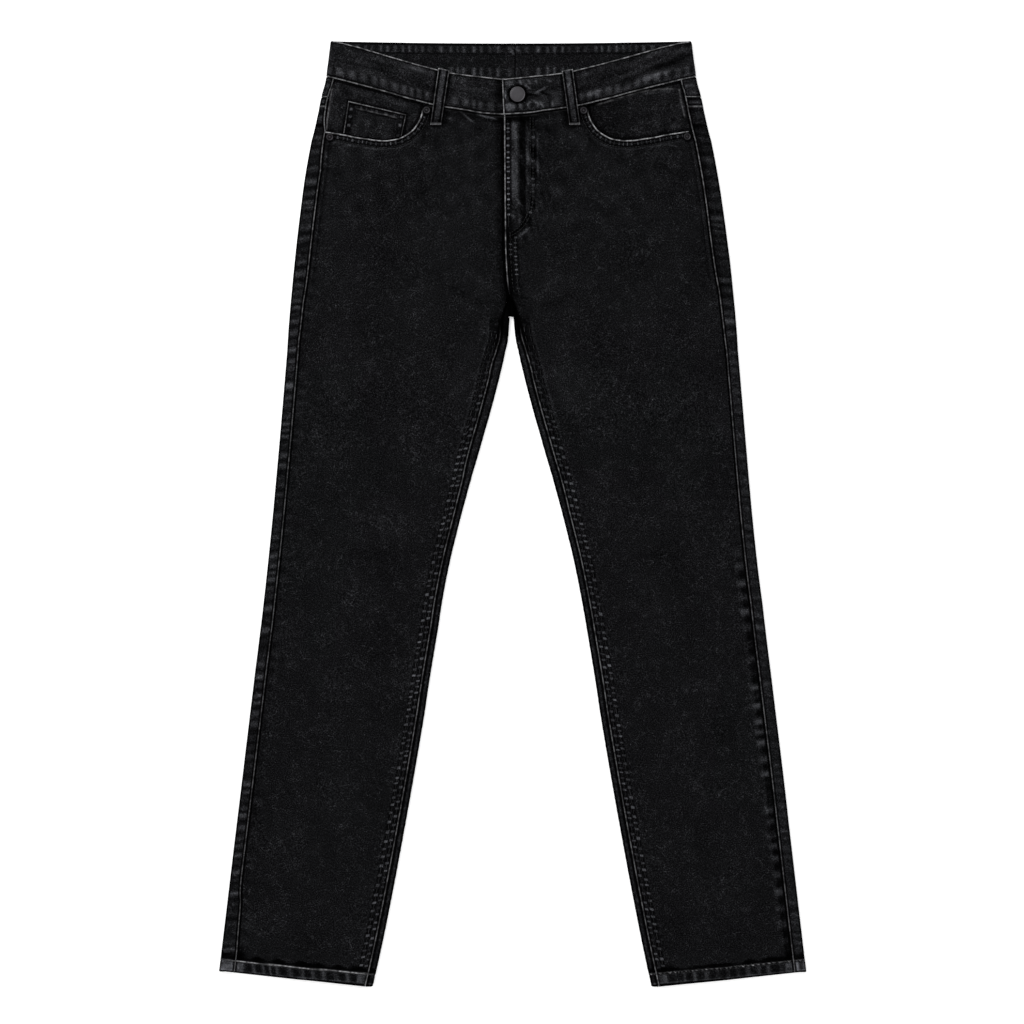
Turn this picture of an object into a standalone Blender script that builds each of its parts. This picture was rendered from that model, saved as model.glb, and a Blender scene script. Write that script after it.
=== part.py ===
"""Skinny jeans, buttoned, laid flat on their back with the front up.

Metres, +Z up, the waist towards +Y and the wearer's left leg at +X. The origin is on the surface that
the jeans lie on, under the middle of their box. The sizes and tables are in millimetres. "down" is the
distance below the top of the waistband, "height" is the distance above the surface, and "across" is
the distance from the middle line of the front, which the lapped fly moves a little to the wearer's
right. Each leg is a flattened tube: the back panel lies on the surface and is folded round both edges
of the leg, up to the seams, and the front panel closes the tube between the seams.
"""

import math
from collections import namedtuple

import bmesh
import bpy
import numpy as np

MM = 0.001
LENGTH = 1040.0  # top of the waistband to the inner corner of a hem
DENIM = 1.2  # one layer of cloth
BAND_CLOTH = 2.6  # the waistband: two layers and an interlining
HEM_CLOTH = 2.3  # the turned hem, pressed flat
FACING_CLOTH = 1.1
GAP = 0.3  # between pieces that meet at a seam or lie on each other
SEAM_GAP = 0.35  # the same, measured sideways on a slanting seam

EDGE_HEIGHT = 5.2  # a leg's folded edge
HIP_HEIGHT = 4.6  # upper layer at the hips
LEG_HEIGHT = 3.6  # upper layer at the middle of a leg
HEM_RISE = 1.6  # how far the hem lifts the upper layer above the leg
HEM_EDGE_RISE = 0.8
EDGE_SOFTNESS = 18.0  # how far in from a folded edge the upper layer settles
SETTLE_FROM = 330.0  # here the upper layer starts to sink from the hip's height to the leg's
SETTLE_OVER = 150.0
INNER_FOLD_FROM = 290.0  # here the fold at a leg's inner edge starts
INNER_FOLD_OVER = 30.0

HEM_OUTER_DOWN = 1022.0
HEM_SLOPE = LENGTH - HEM_OUTER_DOWN  # the hem falls this much towards the inseam
HEM_DEPTH = 14.0
HEM_STEP = 1.5
TILT_START = 400.0  # above this the rows of the legs are level

BAND_DEPTH = 39.5
BAND_BACK_DIP = 3.5
BAND_CENTRE_BACK = 4.0  # x where the band's halves meet at the back
BAND_FOLD_HEIGHT = 6.6
BAND_FRONT_HEIGHT = BAND_CLOTH + GAP + BAND_CLOTH
LAP_RISE = BAND_CLOTH + GAP
LAP_END_TOP = -10.4
LAP_END_LOW = -8.8
LAP_FLAT_TO = 28.0
LAP_SLOPE_TO = 45.0
UNDER_END = 25.0
FRONT_MIDDLE = -7.0
LAPPED_PANEL_END = 20.0  # the left front lies on the right one up to here
LAPPED_PANEL_SLOPE = 11.0
LAPPED_PANEL_FADE = 16.0  # down to the crotch

CROTCH = 304.0
CROTCH_SPREAD = 1.2  # how far the centre back edges have parted at the crotch
SEAMS_MEET = 284.0
YOKE_SIDE_DOWN = 62.0
YOKE_CENTRE_DOWN = 103.0

ZIP_WIDTH = 20.0
ZIP_THICK = 1.4
ZIP_END = 196.0
FLY_UNDERLAP = 6.7
FLY_WIDTH = 26.0
FLY_CURVE_FROM = 165.0
FLY_END = 203.0
FLY_TOE = 6.0
FLY_RISE = FACING_CLOTH + GAP
FLY_MARGIN = 19.0  # how far past the fly facing the left front stays raised
FLY_SLOPE = 10.0

SCOOP_RISE = 1.2
SCOOP_REACH = 10.0  # how far from the scooped edge the panel is thick
SCOOP_SLOPE = 3.0
POCKET_FACING_START = 88.0
POCKET_FACING_END = 113.5
FACING_HEIGHT = 3.1
FACING_LIFT = 1.4  # by the waist seam, on the side of the hip
FACING_LIFT_FROM = 103.0
FACING_LIFT_OVER = 12.0
FACING_SINKS_OVER = 30.0
COIN_CLOTH = 1.0
COIN_FOOT_INSET = 1.2  # the coin pocket ends this far above the scooped edge

POCKET_TOP = 126.0
POCKET_CORNER = 250.0
POCKET_POINT = 272.0
POCKET_INNER_TOP = 40.0
POCKET_INNER_LOW = 46.0
POCKET_OUTER_TOP = 172.0
POCKET_OUTER_LOW = 166.0
POCKET_MARGIN = 10.0  # the back panel stays thick this far above and below the pocket

LOOP_WIDTH = 12.0
LOOP_CLOTH = 1.6
LOOP_SLACK = 1.3
LOOP_END = 92.4
BACK_LOOP_ACROSS = 125.0
BACK_LOOP_CLOTH = 1.2
BACK_LOOP_INSET = 0.4

BUTTON_X = 6.6
BUTTON_DOWN = 59.2
BUTTON_RADIUS = 8.5
SHANK_RADIUS = 3.2
EYELET_RADIUS = 3.6
BUTTONHOLE_END = 21.0
BUTTONHOLE_WIDTH = 2.2
NAIL_RADIUS = 1.0
NAIL_END = 3.4
NAIL_HOLE_RADIUS = 1.4
RIVET_RADIUS = 4.4
RIVET_POST_RADIUS = 1.1
RIVET_HOLE_RADIUS = 1.5

Along = namedtuple("Along", "down size")
Across = namedtuple("Across", "share down")
Scoop = namedtuple("Scoop", "across down")
Rivet = namedtuple("Rivet", "name x down")
Loop = namedtuple("Loop", "name top_x end_x")
Finish = namedtuple("Finish", "name colour roughness metallic")

# Half of the whole width, at the outer edge of each leg.
OUTER_EDGE = [
    Along(0, 197.8), Along(22, 200.0), Along(43, 203.3), Along(54, 206.3), Along(76, 211.0),
    Along(109, 218.9), Along(175, 230.3), Along(263, 240.9), Along(340, 247.2), Along(428, 254.7),
    Along(516, 262.7), Along(604, 271.8), Along(692, 282.2), Along(780, 293.0), Along(868, 303.8),
    Along(956, 314.4), Along(1022, 322.3),
]
# Half of the gap between the legs.
INNER_EDGE = [
    Along(304, 2.2), Along(318, 3.4), Along(340, 7.4), Along(362, 12.3), Along(384, 17.8),
    Along(428, 30.0), Along(472, 42.8), Along(516, 54.9), Along(560, 66.0), Along(604, 75.2),
    Along(648, 83.0), Along(736, 97.0), Along(824, 112.0), Along(912, 128.0), Along(1040, 154.0),
]
# How far in from the outer edge the outseam lies, on the upper layer.
OUTSEAM = {
    "right": [
        Along(41, 8.3), Along(62, 6.9), Along(98, 11.0), Along(142, 15.0), Along(230, 15.0),
        Along(285, 13.2), Along(330, 11.4), Along(912, 11.4), Along(940, 13.6), Along(1022, 13.6),
    ],
    "left": [Along(41, 17.4), Along(208, 17.2), Along(274, 14.3), Along(340, 12.1), Along(1022, 12.1)],
}
# Where the front panel's inner edge lies, as x: the centre seam, the crotch, then the inseam.
FLY_EDGE = [Along(41, -7.6), Along(188, -6.6), Along(219, -3.9), Along(252, -3.3), Along(278, -0.6)]
FRONT_INNER_EDGE = {
    "right": [
        Along(252, 3.4), Along(268, 1.0), Along(284, -4.4), Along(304, -11.6), Along(320, -12.4),
        Along(335, -15.8), Along(350, -20.6), Along(366, -24.6),
    ],
    "left": [
        Along(278, -0.6), Along(284, 2.6), Along(304, 7.0), Along(320, 9.6), Along(335, 13.8),
        Along(350, 18.2), Along(366, 22.4),
    ],
}
# How far in from the inner edge the inseam lies, below the crotch.
INSEAM = {
    "right": [Along(366, 11.0), Along(428, 11.0), Along(480, 8.8), Along(516, 7.8), Along(1040, 7.8)],
    "left": [Along(366, 8.8), Along(450, 8.8), Along(516, 7.9), Along(1040, 7.9)],
}
# The waistband's front edges, from the front's middle line (share 0) to the folded side (share 1).
BAND_TOP = [
    Across(0, 42.0), Across(0.1, 39.9), Across(0.2, 37.8), Across(0.32, 34.6), Across(0.39, 31.4),
    Across(0.56, 22.6), Across(0.73, 13.0), Across(0.83, 7.2), Across(0.93, 2.2), Across(1, 0.6),
]
BAND_SEAM = [
    Across(0, 81.2), Across(0.08, 80.3), Across(0.2, 77.0), Across(0.33, 73.3), Across(0.48, 66.6),
    Across(0.63, 58.3), Across(0.78, 50.2), Across(0.9, 44.0), Across(1, 39.5),
]
# The scooped edge of a front pocket, from the rivet by the belt loop out to the outseam.
SCOOP = [
    Scoop(90.0, 70.0), Scoop(91.5, 78.0), Scoop(95.2, 88.0), Scoop(104.0, 99.4), Scoop(116.5, 106.8),
    Scoop(130.0, 109.0), Scoop(150.0, 107.2), Scoop(173.0, 103.2), Scoop(200.0, 99.0),
]
# The coin pocket's two upper corners, as (x, down), and the x where its sides meet the scooped edge.
COIN_TOP = [(-178.8, 66.0), (-115.5, 80.9)]
COIN_FOOT_X = (-184.3, -120.7)

# Where the cloth has rows and columns of points.
BACK_HIP_ROWS = [112, 119, 160, 200, 240, 279, 286, 294]
FLOOR_SHARES = [0.14, 0.185, 0.34, 0.5, 0.67, 0.835, 0.88, 1.0]
POCKET_COLUMNS = slice(1, 6)  # those of the floor shares that lie over a back pocket
HIP_ROWS = [125, 140, 155, 170, 183, 195, 209, 223, 238, 252, 268]
LEG_ROWS = [
    304, 320, 335, 350, 366, 388, 414, 445, 480, 520, 565, 620, 680, 745, 810, 875, 935, 980,
]
SCOOP_ACROSS = [81.0, 84.5, 88.5, 91.0, 95.2, 99.0, 104.0, 110.0, 116.5, 130.0, 150.0, 173.0]
FRONT_ACROSS = {
    "right": [0.0, 6.2, 20.0, 34.0, 48.0, 64.0],
    "left": [0.0, 10.0, 21.0, 29.0, 36.0, 46.0, 64.0],
}
BACK_BAND_STATIONS = [40.0, 80.0, 118.0, 132.0, 165.0]
SIDE_BAND_STATIONS = [180, 165, 150, 138, 126, 114, 102, 92, 82, 72, 62, 52]
BAND_END_STATIONS = {
    "right": [-42.0, -32.0, -20.0, FRONT_MIDDLE, 8.0, UNDER_END],
    "left": [LAP_SLOPE_TO, 40.0, 36.0, 32.0, LAP_FLAT_TO, 18.0, 8.0, -2.0, FRONT_MIDDLE, LAP_END_TOP],
}
FACING_COLUMNS = 9
FACING_ROWS = 9
COIN_COLUMNS = 8
COIN_ROWS = 5
SCOOP_STEPS = 4
YOKE_BLEND_ROWS = 4
YOKE_ROWS = 4
FOLD_STEPS = 4

RIVETS = [
    Rivet("rivet_right_inner", -93.2, 76.2),
    Rivet("rivet_right_outer", -199.0, 106.0),
    Rivet("rivet_left_inner", 79.4, 76.6),
    Rivet("rivet_left_outer", 192.8, 105.4),
]
FRONT_LOOPS = [Loop("belt_loop_front_right", -74.5, -83.3), Loop("belt_loop_front_left", 61.6, 69.6)]
BACK_LOOPS = [
    Loop("belt_loop_back_right", -BACK_LOOP_ACROSS, -BACK_LOOP_ACROSS),
    Loop("belt_loop_back_centre", BAND_CENTRE_BACK, BAND_CENTRE_BACK),
    Loop("belt_loop_back_left", BACK_LOOP_ACROSS, BACK_LOOP_ACROSS),
]

BLACK_DENIM = Finish("black_denim", (0.0100, 0.0103, 0.0116), 0.9, 0.0)
BAND_DENIM = Finish("waistband_denim", (0.0130, 0.0133, 0.0148), 0.88, 0.0)
FACING_DENIM = Finish("facing_denim", (0.0105, 0.0105, 0.0115), 0.9, 0.0)
ZIP_TAPE = Finish("black_zip", (0.008, 0.008, 0.009), 0.6, 0.0)
GUNMETAL = Finish("gunmetal", (0.075, 0.072, 0.078), 0.42, 1.0)

SIDES = {"right": -1.0, "left": 1.0}


# Curves and heights ---------------------------------------------------------------------------------


def curve(table, at):
    """A smooth curve through the table's rows that doesn't overshoot them, read at each place."""
    place, value = np.array(table, float).T
    step = np.diff(place)
    slope = np.diff(value) / step
    wide = 2 * step[1:] + step[:-1]
    narrow = step[1:] + 2 * step[:-1]
    turning = slope[:-1] * slope[1:] <= 0
    before = np.where(turning, 1.0, slope[:-1])
    after = np.where(turning, 1.0, slope[1:])
    middle = np.where(turning, 0.0, (wide + narrow) / (wide / before + narrow / after))
    tangent = np.concatenate([slope[:1], middle, slope[-1:]])
    at = np.asarray(at, float)
    k = np.clip(np.searchsorted(place, at, side="right") - 1, 0, len(step) - 1)
    t = np.clip((at - place[k]) / step[k], 0, 1)
    bend = (2 * slope[k] - tangent[k] - tangent[k + 1]) * (t - 1) + slope[k] - tangent[k]
    return value[k] + step[k] * t * (tangent[k] + t * bend)


def ease(t):
    """0 up to t = 0, 1 from t = 1, with a smooth rise between."""
    t = np.clip(t, 0, 1)
    return t * t * (3 - 2 * t)


def hem_share(x, down):
    """1 on the hem, 0 above it."""
    widest, narrowest = OUTER_EDGE[-1].size, INNER_EDGE[-1].size
    hem_line = HEM_OUTER_DOWN + HEM_SLOPE * (widest - np.abs(x)) / (widest - narrowest)
    return ease((HEM_DEPTH + HEM_STEP - (hem_line - down)) / HEM_STEP)


def edge_height(x, down):
    return EDGE_HEIGHT + HEM_EDGE_RISE * hem_share(x, down)


def upper_height(x, down):
    """Height of the outer face of the upper layer: high at the folded edges, lower between them."""
    fold = EDGE_HEIGHT / 2
    middle = HIP_HEIGHT - (HIP_HEIGHT - LEG_HEIGHT) * ease((down - SETTLE_FROM) / SETTLE_OVER)
    middle = middle + HEM_RISE * hem_share(x, down)
    from_outer = np.maximum(curve(OUTER_EDGE, down) - fold - np.abs(x), 0)
    from_inner = np.maximum(np.abs(x) - curve(INNER_EDGE, down) - fold, 0)
    near_outer = np.exp(-((from_outer / EDGE_SOFTNESS) ** 2))
    near_inner = np.exp(-((from_inner / EDGE_SOFTNESS) ** 2))
    near_inner = near_inner * ease((down - INNER_FOLD_FROM) / INNER_FOLD_OVER)
    near = np.maximum(near_outer, near_inner)
    return middle + (edge_height(x, down) - middle) * near


def scoop_distance(x, down):
    """How far a point is from the scooped edge of the front pocket on its side."""
    across = np.linspace(SCOOP[0].across, SCOOP[-1].across, 60)
    edge_down = curve(SCOOP, across)
    from_middle = np.abs(np.asarray(x, float) - FRONT_MIDDLE)
    apart = np.hypot(from_middle[..., None] - across, np.asarray(down, float)[..., None] - edge_down)
    return apart.min(axis=-1)


def scoop_share(x, down):
    """1 along the scooped edge, where the turned edge of the front panel is thick."""
    return ease((SCOOP_REACH - scoop_distance(x, down)) / SCOOP_SLOPE)


def fly_share(x, down):
    """1 over the fly facing and the zip, 0 outside their stitching."""
    turn = np.clip((down - FLY_CURVE_FROM) / (FLY_END - FLY_CURVE_FROM), 0, 1)
    facing_edge = FLY_TOE + (FLY_WIDTH - FLY_TOE) * np.sqrt(1 - turn**2)
    beside = ease((facing_edge + FLY_MARGIN - x) / FLY_SLOPE)
    return beside * ease((FLY_END + FLY_MARGIN - down) / FLY_SLOPE)


def front_height(side, x, down):
    """Height of the outer face of a front panel."""
    height = upper_height(x, down) + SCOOP_RISE * scoop_share(x, down)
    if side == "left":
        lap = ease((LAPPED_PANEL_END - x) / LAPPED_PANEL_SLOPE)
        lap = lap * ease((CROTCH - down) / LAPPED_PANEL_FADE)
        facing = fly_share(x, down)
        height = height + (DENIM + GAP) * np.maximum(lap, facing) + FLY_RISE * facing
    return height


def seat_on(side, x, down):
    """Height at which a piece that covers these points lies just clear of the front panel."""
    return float(front_height(side, x, down).max()) + GAP


def outseam_x(side, down):
    """Distance of the outseam from the middle of the jeans."""
    return curve(OUTER_EDGE, down) - curve(OUTSEAM[side], down)


def front_inner_x(side, down):
    """x of the front panel's inner edge: under or over the fly, round the crotch, down the inseam."""
    down = np.asarray(down, float)
    fly = curve(FLY_EDGE, down) + (FLY_UNDERLAP if side == "right" else 0)
    crotch = curve(FRONT_INNER_EDGE[side], down)
    inseam = SIDES[side] * (curve(INNER_EDGE, down) + curve(INSEAM[side], down))
    table = FRONT_INNER_EDGE[side]
    return np.where(down < table[0].down, fly, np.where(down < table[-1].down, crotch, inseam))


def band_side_x(down):
    return curve(OUTER_EDGE, down)


def band_down(table, x, side_x):
    """Down at x along a front edge of the waistband, whose side fold is at side_x on either side."""
    x = np.asarray(x, float)
    reach = np.where(x < FRONT_MIDDLE, side_x + FRONT_MIDDLE, side_x - FRONT_MIDDLE)
    return curve(table, np.abs(x - FRONT_MIDDLE) / reach)


def waist_seam(x):
    return band_down(BAND_SEAM, x, band_side_x(BAND_DEPTH))


def band_top(x):
    return band_down(BAND_TOP, x, band_side_x(0))


def back_band_top(x):
    return BAND_BACK_DIP * (1 - (np.abs(x) / band_side_x(0)) ** 2)


def facing_height(x, down):
    """Height of the pocket facing's outer face: level with the waist seam, then down under the scoop."""
    from_middle = np.abs(np.asarray(x, float) - FRONT_MIDDLE)
    sinks = ease((down - waist_seam(x)) / FACING_SINKS_OVER)
    inside = ease((from_middle - FACING_LIFT_FROM) / FACING_LIFT_OVER)
    return FACING_HEIGHT + FACING_LIFT * (1 - sinks) * inside


# Making solids --------------------------------------------------------------------------------------

pieces = None
cutters = None
jeans = None


def to_world(points):
    """Points as (x, down, height) in millimetres, made metres with the waist towards +Y."""
    points = np.asarray(points, float)
    return np.stack([points[..., 0], LENGTH / 2 - points[..., 1], points[..., 2]], axis=-1) * MM


def material(finish):
    made = bpy.data.materials.get(finish.name) or bpy.data.materials.new(finish.name)
    made.use_nodes = True
    shader = made.node_tree.nodes["Principled BSDF"]
    shader.inputs["Base Color"].default_value = (*finish.colour, 1)
    shader.inputs["Roughness"].default_value = finish.roughness
    shader.inputs["Metallic"].default_value = finish.metallic
    made.diffuse_color = (*finish.colour, 1)
    return made


def add(name, mesh, finish=None):
    """A named object in the jeans' collection, or a hidden cutter where it has no finish."""
    made = bpy.data.objects.new(name, mesh)
    if finish is None:
        cutters.objects.link(made)
        made.hide_render = True
        made.display_type = "WIRE"
    else:
        pieces.objects.link(made)
        made.data.materials.append(material(finish))
        made.parent = jeans
    return made


def cloth(name, points, thickness, finish, flip=False):
    """A piece of cloth. points are its outer face as rows of (x, down, height); a missing point is NaN."""
    points = np.asarray(points, float)
    thickness = np.broadcast_to(np.asarray(thickness, float), points.shape[:2])
    present = np.isfinite(points[..., 0])
    index = np.cumsum(present).reshape(present.shape) - 1
    whole = present[:-1, :-1] & present[1:, :-1] & present[:-1, 1:] & present[1:, 1:]
    corners = [index[:-1, :-1], index[1:, :-1], index[1:, 1:], index[:-1, 1:]]
    quads = np.stack([corner[whole] for corner in corners], axis=-1)
    mesh = bpy.data.meshes.new(name)
    quads = quads[:, ::-1] if flip else quads
    mesh.from_pydata(to_world(points[present]).tolist(), [], quads.tolist())
    mesh.validate()
    made = add(name, mesh, finish)
    thickest = float(thickness[present].max())
    group = made.vertex_groups.new(name="thickness")
    for number, size in enumerate(thickness[present]):
        group.add([number], float(size) / thickest, "REPLACE")
    wall = made.modifiers.new("Cloth", "SOLIDIFY")
    wall.thickness = thickest * MM
    wall.offset = -1
    wall.use_even_offset = False
    wall.vertex_group = group.name
    wall.thickness_vertex_group = 0
    return made


def turned(name, profile, x, down, finish, steps):
    """A turned piece from its profile, (radius, height) down its outer side."""
    mesh = bpy.data.meshes.new(name)
    points = [(radius * MM, 0, height * MM) for radius, height in profile]
    mesh.from_pydata(points, [(k, k + 1) for k in range(len(points) - 1)], [])
    made = add(name, mesh, finish)
    made.location = to_world((x, down, 0))
    spin = made.modifiers.new("Turned", "SCREW")
    spin.steps = steps
    spin.render_steps = steps
    spin.use_merge_vertices = True
    spin.merge_threshold = 0.00005
    mesh.shade_smooth()
    return made


def plate(name, outline, low, high, finish=None):
    """A flat plate with the outline (x, down) between two heights. With no finish it is a cutter."""
    flat = bpy.data.curves.new(name, "CURVE")
    flat.dimensions = "2D"
    flat.fill_mode = "BOTH"
    flat.extrude = (high - low) / 2 * MM
    edge = flat.splines.new("POLY")
    edge.points.add(len(outline) - 1)
    for point, (x, down) in zip(edge.points, outline):
        place = to_world((x, down, 0))
        point.co = (place[0], place[1], 0, 1)
    edge.use_cyclic_u = True
    drawn = bpy.data.objects.new(name + "_outline", flat)
    cutters.objects.link(drawn)
    drawn.location.z = (low + high) / 2 * MM
    bpy.context.view_layer.update()
    evaluated = drawn.evaluated_get(bpy.context.evaluated_depsgraph_get())
    mesh = bpy.data.meshes.new_from_object(evaluated)
    mesh.transform(drawn.matrix_world)
    bpy.data.objects.remove(drawn)
    solid = bmesh.new()
    solid.from_mesh(mesh)
    bmesh.ops.remove_doubles(solid, verts=solid.verts, dist=0.00001)
    bmesh.ops.recalc_face_normals(solid, faces=solid.faces)
    solid.to_mesh(mesh)
    solid.free()
    return add(name, mesh, finish)


def cut(piece, cutter):
    hole = piece.modifiers.new(cutter.name, "BOOLEAN")
    hole.operation = "DIFFERENCE"
    hole.object = cutter


def circle(x, down, radius, count=12):
    turn = 2 * math.pi / count
    return [
        (x + radius * math.cos(turn * k), down + radius * math.sin(turn * k)) for k in range(count)
    ]


def fold(outline_x, height, side, upwards=True):
    """Points (x, height) round a folded edge, from the surface up to the upper layer's face."""
    radius = height / 2
    angle = np.linspace(-90, 90, FOLD_STEPS + 1) * math.pi / 180
    out = np.array([outline_x - side * radius * (1 - math.cos(a)) for a in angle])
    up = np.array([radius * (1 + math.sin(a)) for a in angle])
    return (out, up) if upwards else (out[::-1], up[::-1])


# Rows of the legs -----------------------------------------------------------------------------------


def leg_rows():
    """The legs' rows as (down at the outer edge, down at the inner edge), from the crotch to the hem."""
    hem = [HEM_OUTER_DOWN - HEM_DEPTH - HEM_STEP, HEM_OUTER_DOWN - HEM_DEPTH, HEM_OUTER_DOWN]
    rows = []
    for outer in LEG_ROWS + hem:
        share = max(outer - TILT_START, 0) / (hem[0] - TILT_START)
        rows.append((outer, outer + HEM_SLOPE * min(share, 1) ** 2))
    return rows


# Pieces ---------------------------------------------------------------------------------------------


def back_row(side, outer_down, inner_down, floor_shares, in_leg, tip=False):
    """One row of a back panel: outseam, outer fold, floor, inner fold and inseam, as points."""
    sign = SIDES[side]
    outer_x = sign * float(curve(OUTER_EDGE, outer_down))
    height = float(edge_height(outer_x, outer_down))
    fold_x, fold_z = fold(outer_x, height, sign, upwards=False)
    seam_x = sign * float(outseam_x(side, outer_down))
    points = [(seam_x, outer_down, float(upper_height(seam_x, outer_down)))]
    points += [(x, outer_down, z) for x, z in zip(fold_x, fold_z)]
    if in_leg:
        inner_x = sign * float(curve(INNER_EDGE, inner_down))
        in_height = float(edge_height(inner_x, inner_down))
        in_x, in_z = fold(inner_x, in_height, -sign)
        floor_end = in_x[0]
    else:
        floor_end = sign * GAP / 2
    for share in floor_shares:
        x = points[FOLD_STEPS + 1][0] * (1 - share) + floor_end * share
        points.append((x, outer_down + (inner_down - outer_down) * share, 0.0))
    missing = (np.nan, np.nan, np.nan)
    if in_leg:
        points += [(x, inner_down, z) for x, z in zip(in_x[1:], in_z[1:])]
    elif tip:
        points += [missing] * (FOLD_STEPS - 1)
        parted = CROTCH_SPREAD * (inner_down - SEAMS_MEET) / (CROTCH - SEAMS_MEET)
        crest_x = sign * (GAP / 2 + parted)
        points.append((crest_x, inner_down, float(upper_height(crest_x, inner_down))))
    else:
        points += [missing] * FOLD_STEPS
    if in_leg or tip:
        seam_x = float(front_inner_x(side, inner_down)) - sign * SEAM_GAP
        points.append((seam_x, inner_down, float(upper_height(seam_x, inner_down))))
    else:
        points.append(missing)
    return points


def back_panel(side):
    """The back of one leg, folded round both edges. It is thick where the back pocket is let in."""
    yoke_shares = np.array([0.0] * (FOLD_STEPS + 2) + FLOOR_SHARES)
    rows, walls = [], []
    for step in range(YOKE_BLEND_ROWS):
        share = step / YOKE_BLEND_ROWS
        side_down = YOKE_SIDE_DOWN + (BACK_HIP_ROWS[0] - YOKE_SIDE_DOWN) * share
        centre_down = YOKE_CENTRE_DOWN + (BACK_HIP_ROWS[0] - YOKE_CENTRE_DOWN) * share
        row = np.array(back_row(side, side_down, side_down, FLOOR_SHARES, False))
        row[: len(yoke_shares), 1] += (centre_down - side_down) * yoke_shares
        rows.append(row)
        walls.append(np.full(len(row), DENIM))
    for down in BACK_HIP_ROWS:
        rows.append(back_row(side, down, down, FLOOR_SHARES, False, tip=down >= SEAMS_MEET))
        wall = np.full(len(rows[0]), DENIM)
        if POCKET_TOP - POCKET_MARGIN < down < POCKET_POINT + POCKET_MARGIN:
            wall[FOLD_STEPS + 2 :][POCKET_COLUMNS] = DENIM + GAP + DENIM
        walls.append(wall)
    floor = slice(FOLD_STEPS + 2, -FOLD_STEPS - 2)
    for outer, inner in leg_rows():
        row = np.array(back_row(side, outer, inner, FLOOR_SHARES, True))
        rows.append(row)
        wall = np.full(len(row), DENIM)
        wall[floor] += (HEM_CLOTH - DENIM) * hem_share(row[floor, 0], row[floor, 1])
        walls.append(wall)
    return cloth("back_" + side, rows, walls, BLACK_DENIM, flip=side == "right")


def front_panel(side):
    """The front of one leg: waist seam and pocket scoop at the top, then straight rows to the hem."""
    sign = SIDES[side]
    outer_x = sign * (float(outseam_x(side, SCOOP[-1].down)) - SEAM_GAP)
    outer_end = abs(outer_x - FRONT_MIDDLE)
    shares = np.array(FRONT_ACROSS[side] + SCOOP_ACROSS + [outer_end]) / outer_end
    inner_x = float(front_inner_x(side, BAND_SEAM[0].down))
    top_x = inner_x + (outer_x - inner_x) * shares
    # The columns from the scoop's start outwards begin on the scoop, the others at the waist seam.
    from_middle = np.abs(top_x - FRONT_MIDDLE)
    top_down = np.where(from_middle > SCOOP[0].across, curve(SCOOP, from_middle), 0)
    top_down = np.maximum(top_down, waist_seam(top_x)) + GAP
    rows = []
    for step in range(SCOOP_STEPS):
        down = top_down + (HIP_ROWS[0] - top_down) * step / SCOOP_STEPS
        low = front_inner_x(side, down[0])
        high = sign * (outseam_x(side, down[-1]) - SEAM_GAP)
        x = low + (high - low) * shares
        if step == 0:
            x = top_x
        rows.append(np.stack([x, down, front_height(side, x, down)], axis=-1))
    level = [(down, down) for down in HIP_ROWS + [SEAMS_MEET, 294]]
    for outer, inner in level + leg_rows():
        low = front_inner_x(side, inner)
        high = sign * (outseam_x(side, outer) - SEAM_GAP)
        x = low + (high - low) * shares
        down = inner + (outer - inner) * shares
        rows.append(np.stack([x, down, front_height(side, x, down)], axis=-1))
    rows = np.array(rows)
    x, down = rows[..., 0], rows[..., 1]
    wall = DENIM + SCOOP_RISE * scoop_share(x, down) + (HEM_CLOTH - DENIM) * hem_share(x, down)
    return cloth("front_" + side, rows, wall, BLACK_DENIM, flip=side == "right")


def yoke(side):
    """The yoke between the back waistband and a back panel. Its side end is folded up to the outseam."""
    sign = SIDES[side]
    inwards = np.array([0.0] * (FOLD_STEPS + 2) + FLOOR_SHARES)
    foot = YOKE_SIDE_DOWN - GAP + (YOKE_CENTRE_DOWN - YOKE_SIDE_DOWN) * inwards
    side_head = BAND_DEPTH + GAP
    rows = []
    for share in np.linspace(0, 1, YOKE_ROWS):
        side_down = side_head + (foot[0] - side_head) * share
        row = np.array(back_row(side, side_down, side_down, FLOOR_SHARES, False))[: len(inwards)]
        head = back_band_top(row[:, 0]) + BAND_DEPTH + GAP
        head[0] = waist_seam(sign * outseam_x(side, BAND_DEPTH)) + GAP
        row[:, 1] = head + (foot - head) * share
        row[0, 0] = sign * outseam_x(side, row[0, 1])
        row[0, 2] = upper_height(row[0, 0], row[0, 1])
        rows.append(row)
    return cloth("yoke_" + side, rows, DENIM, BLACK_DENIM, flip=side == "right")


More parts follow.
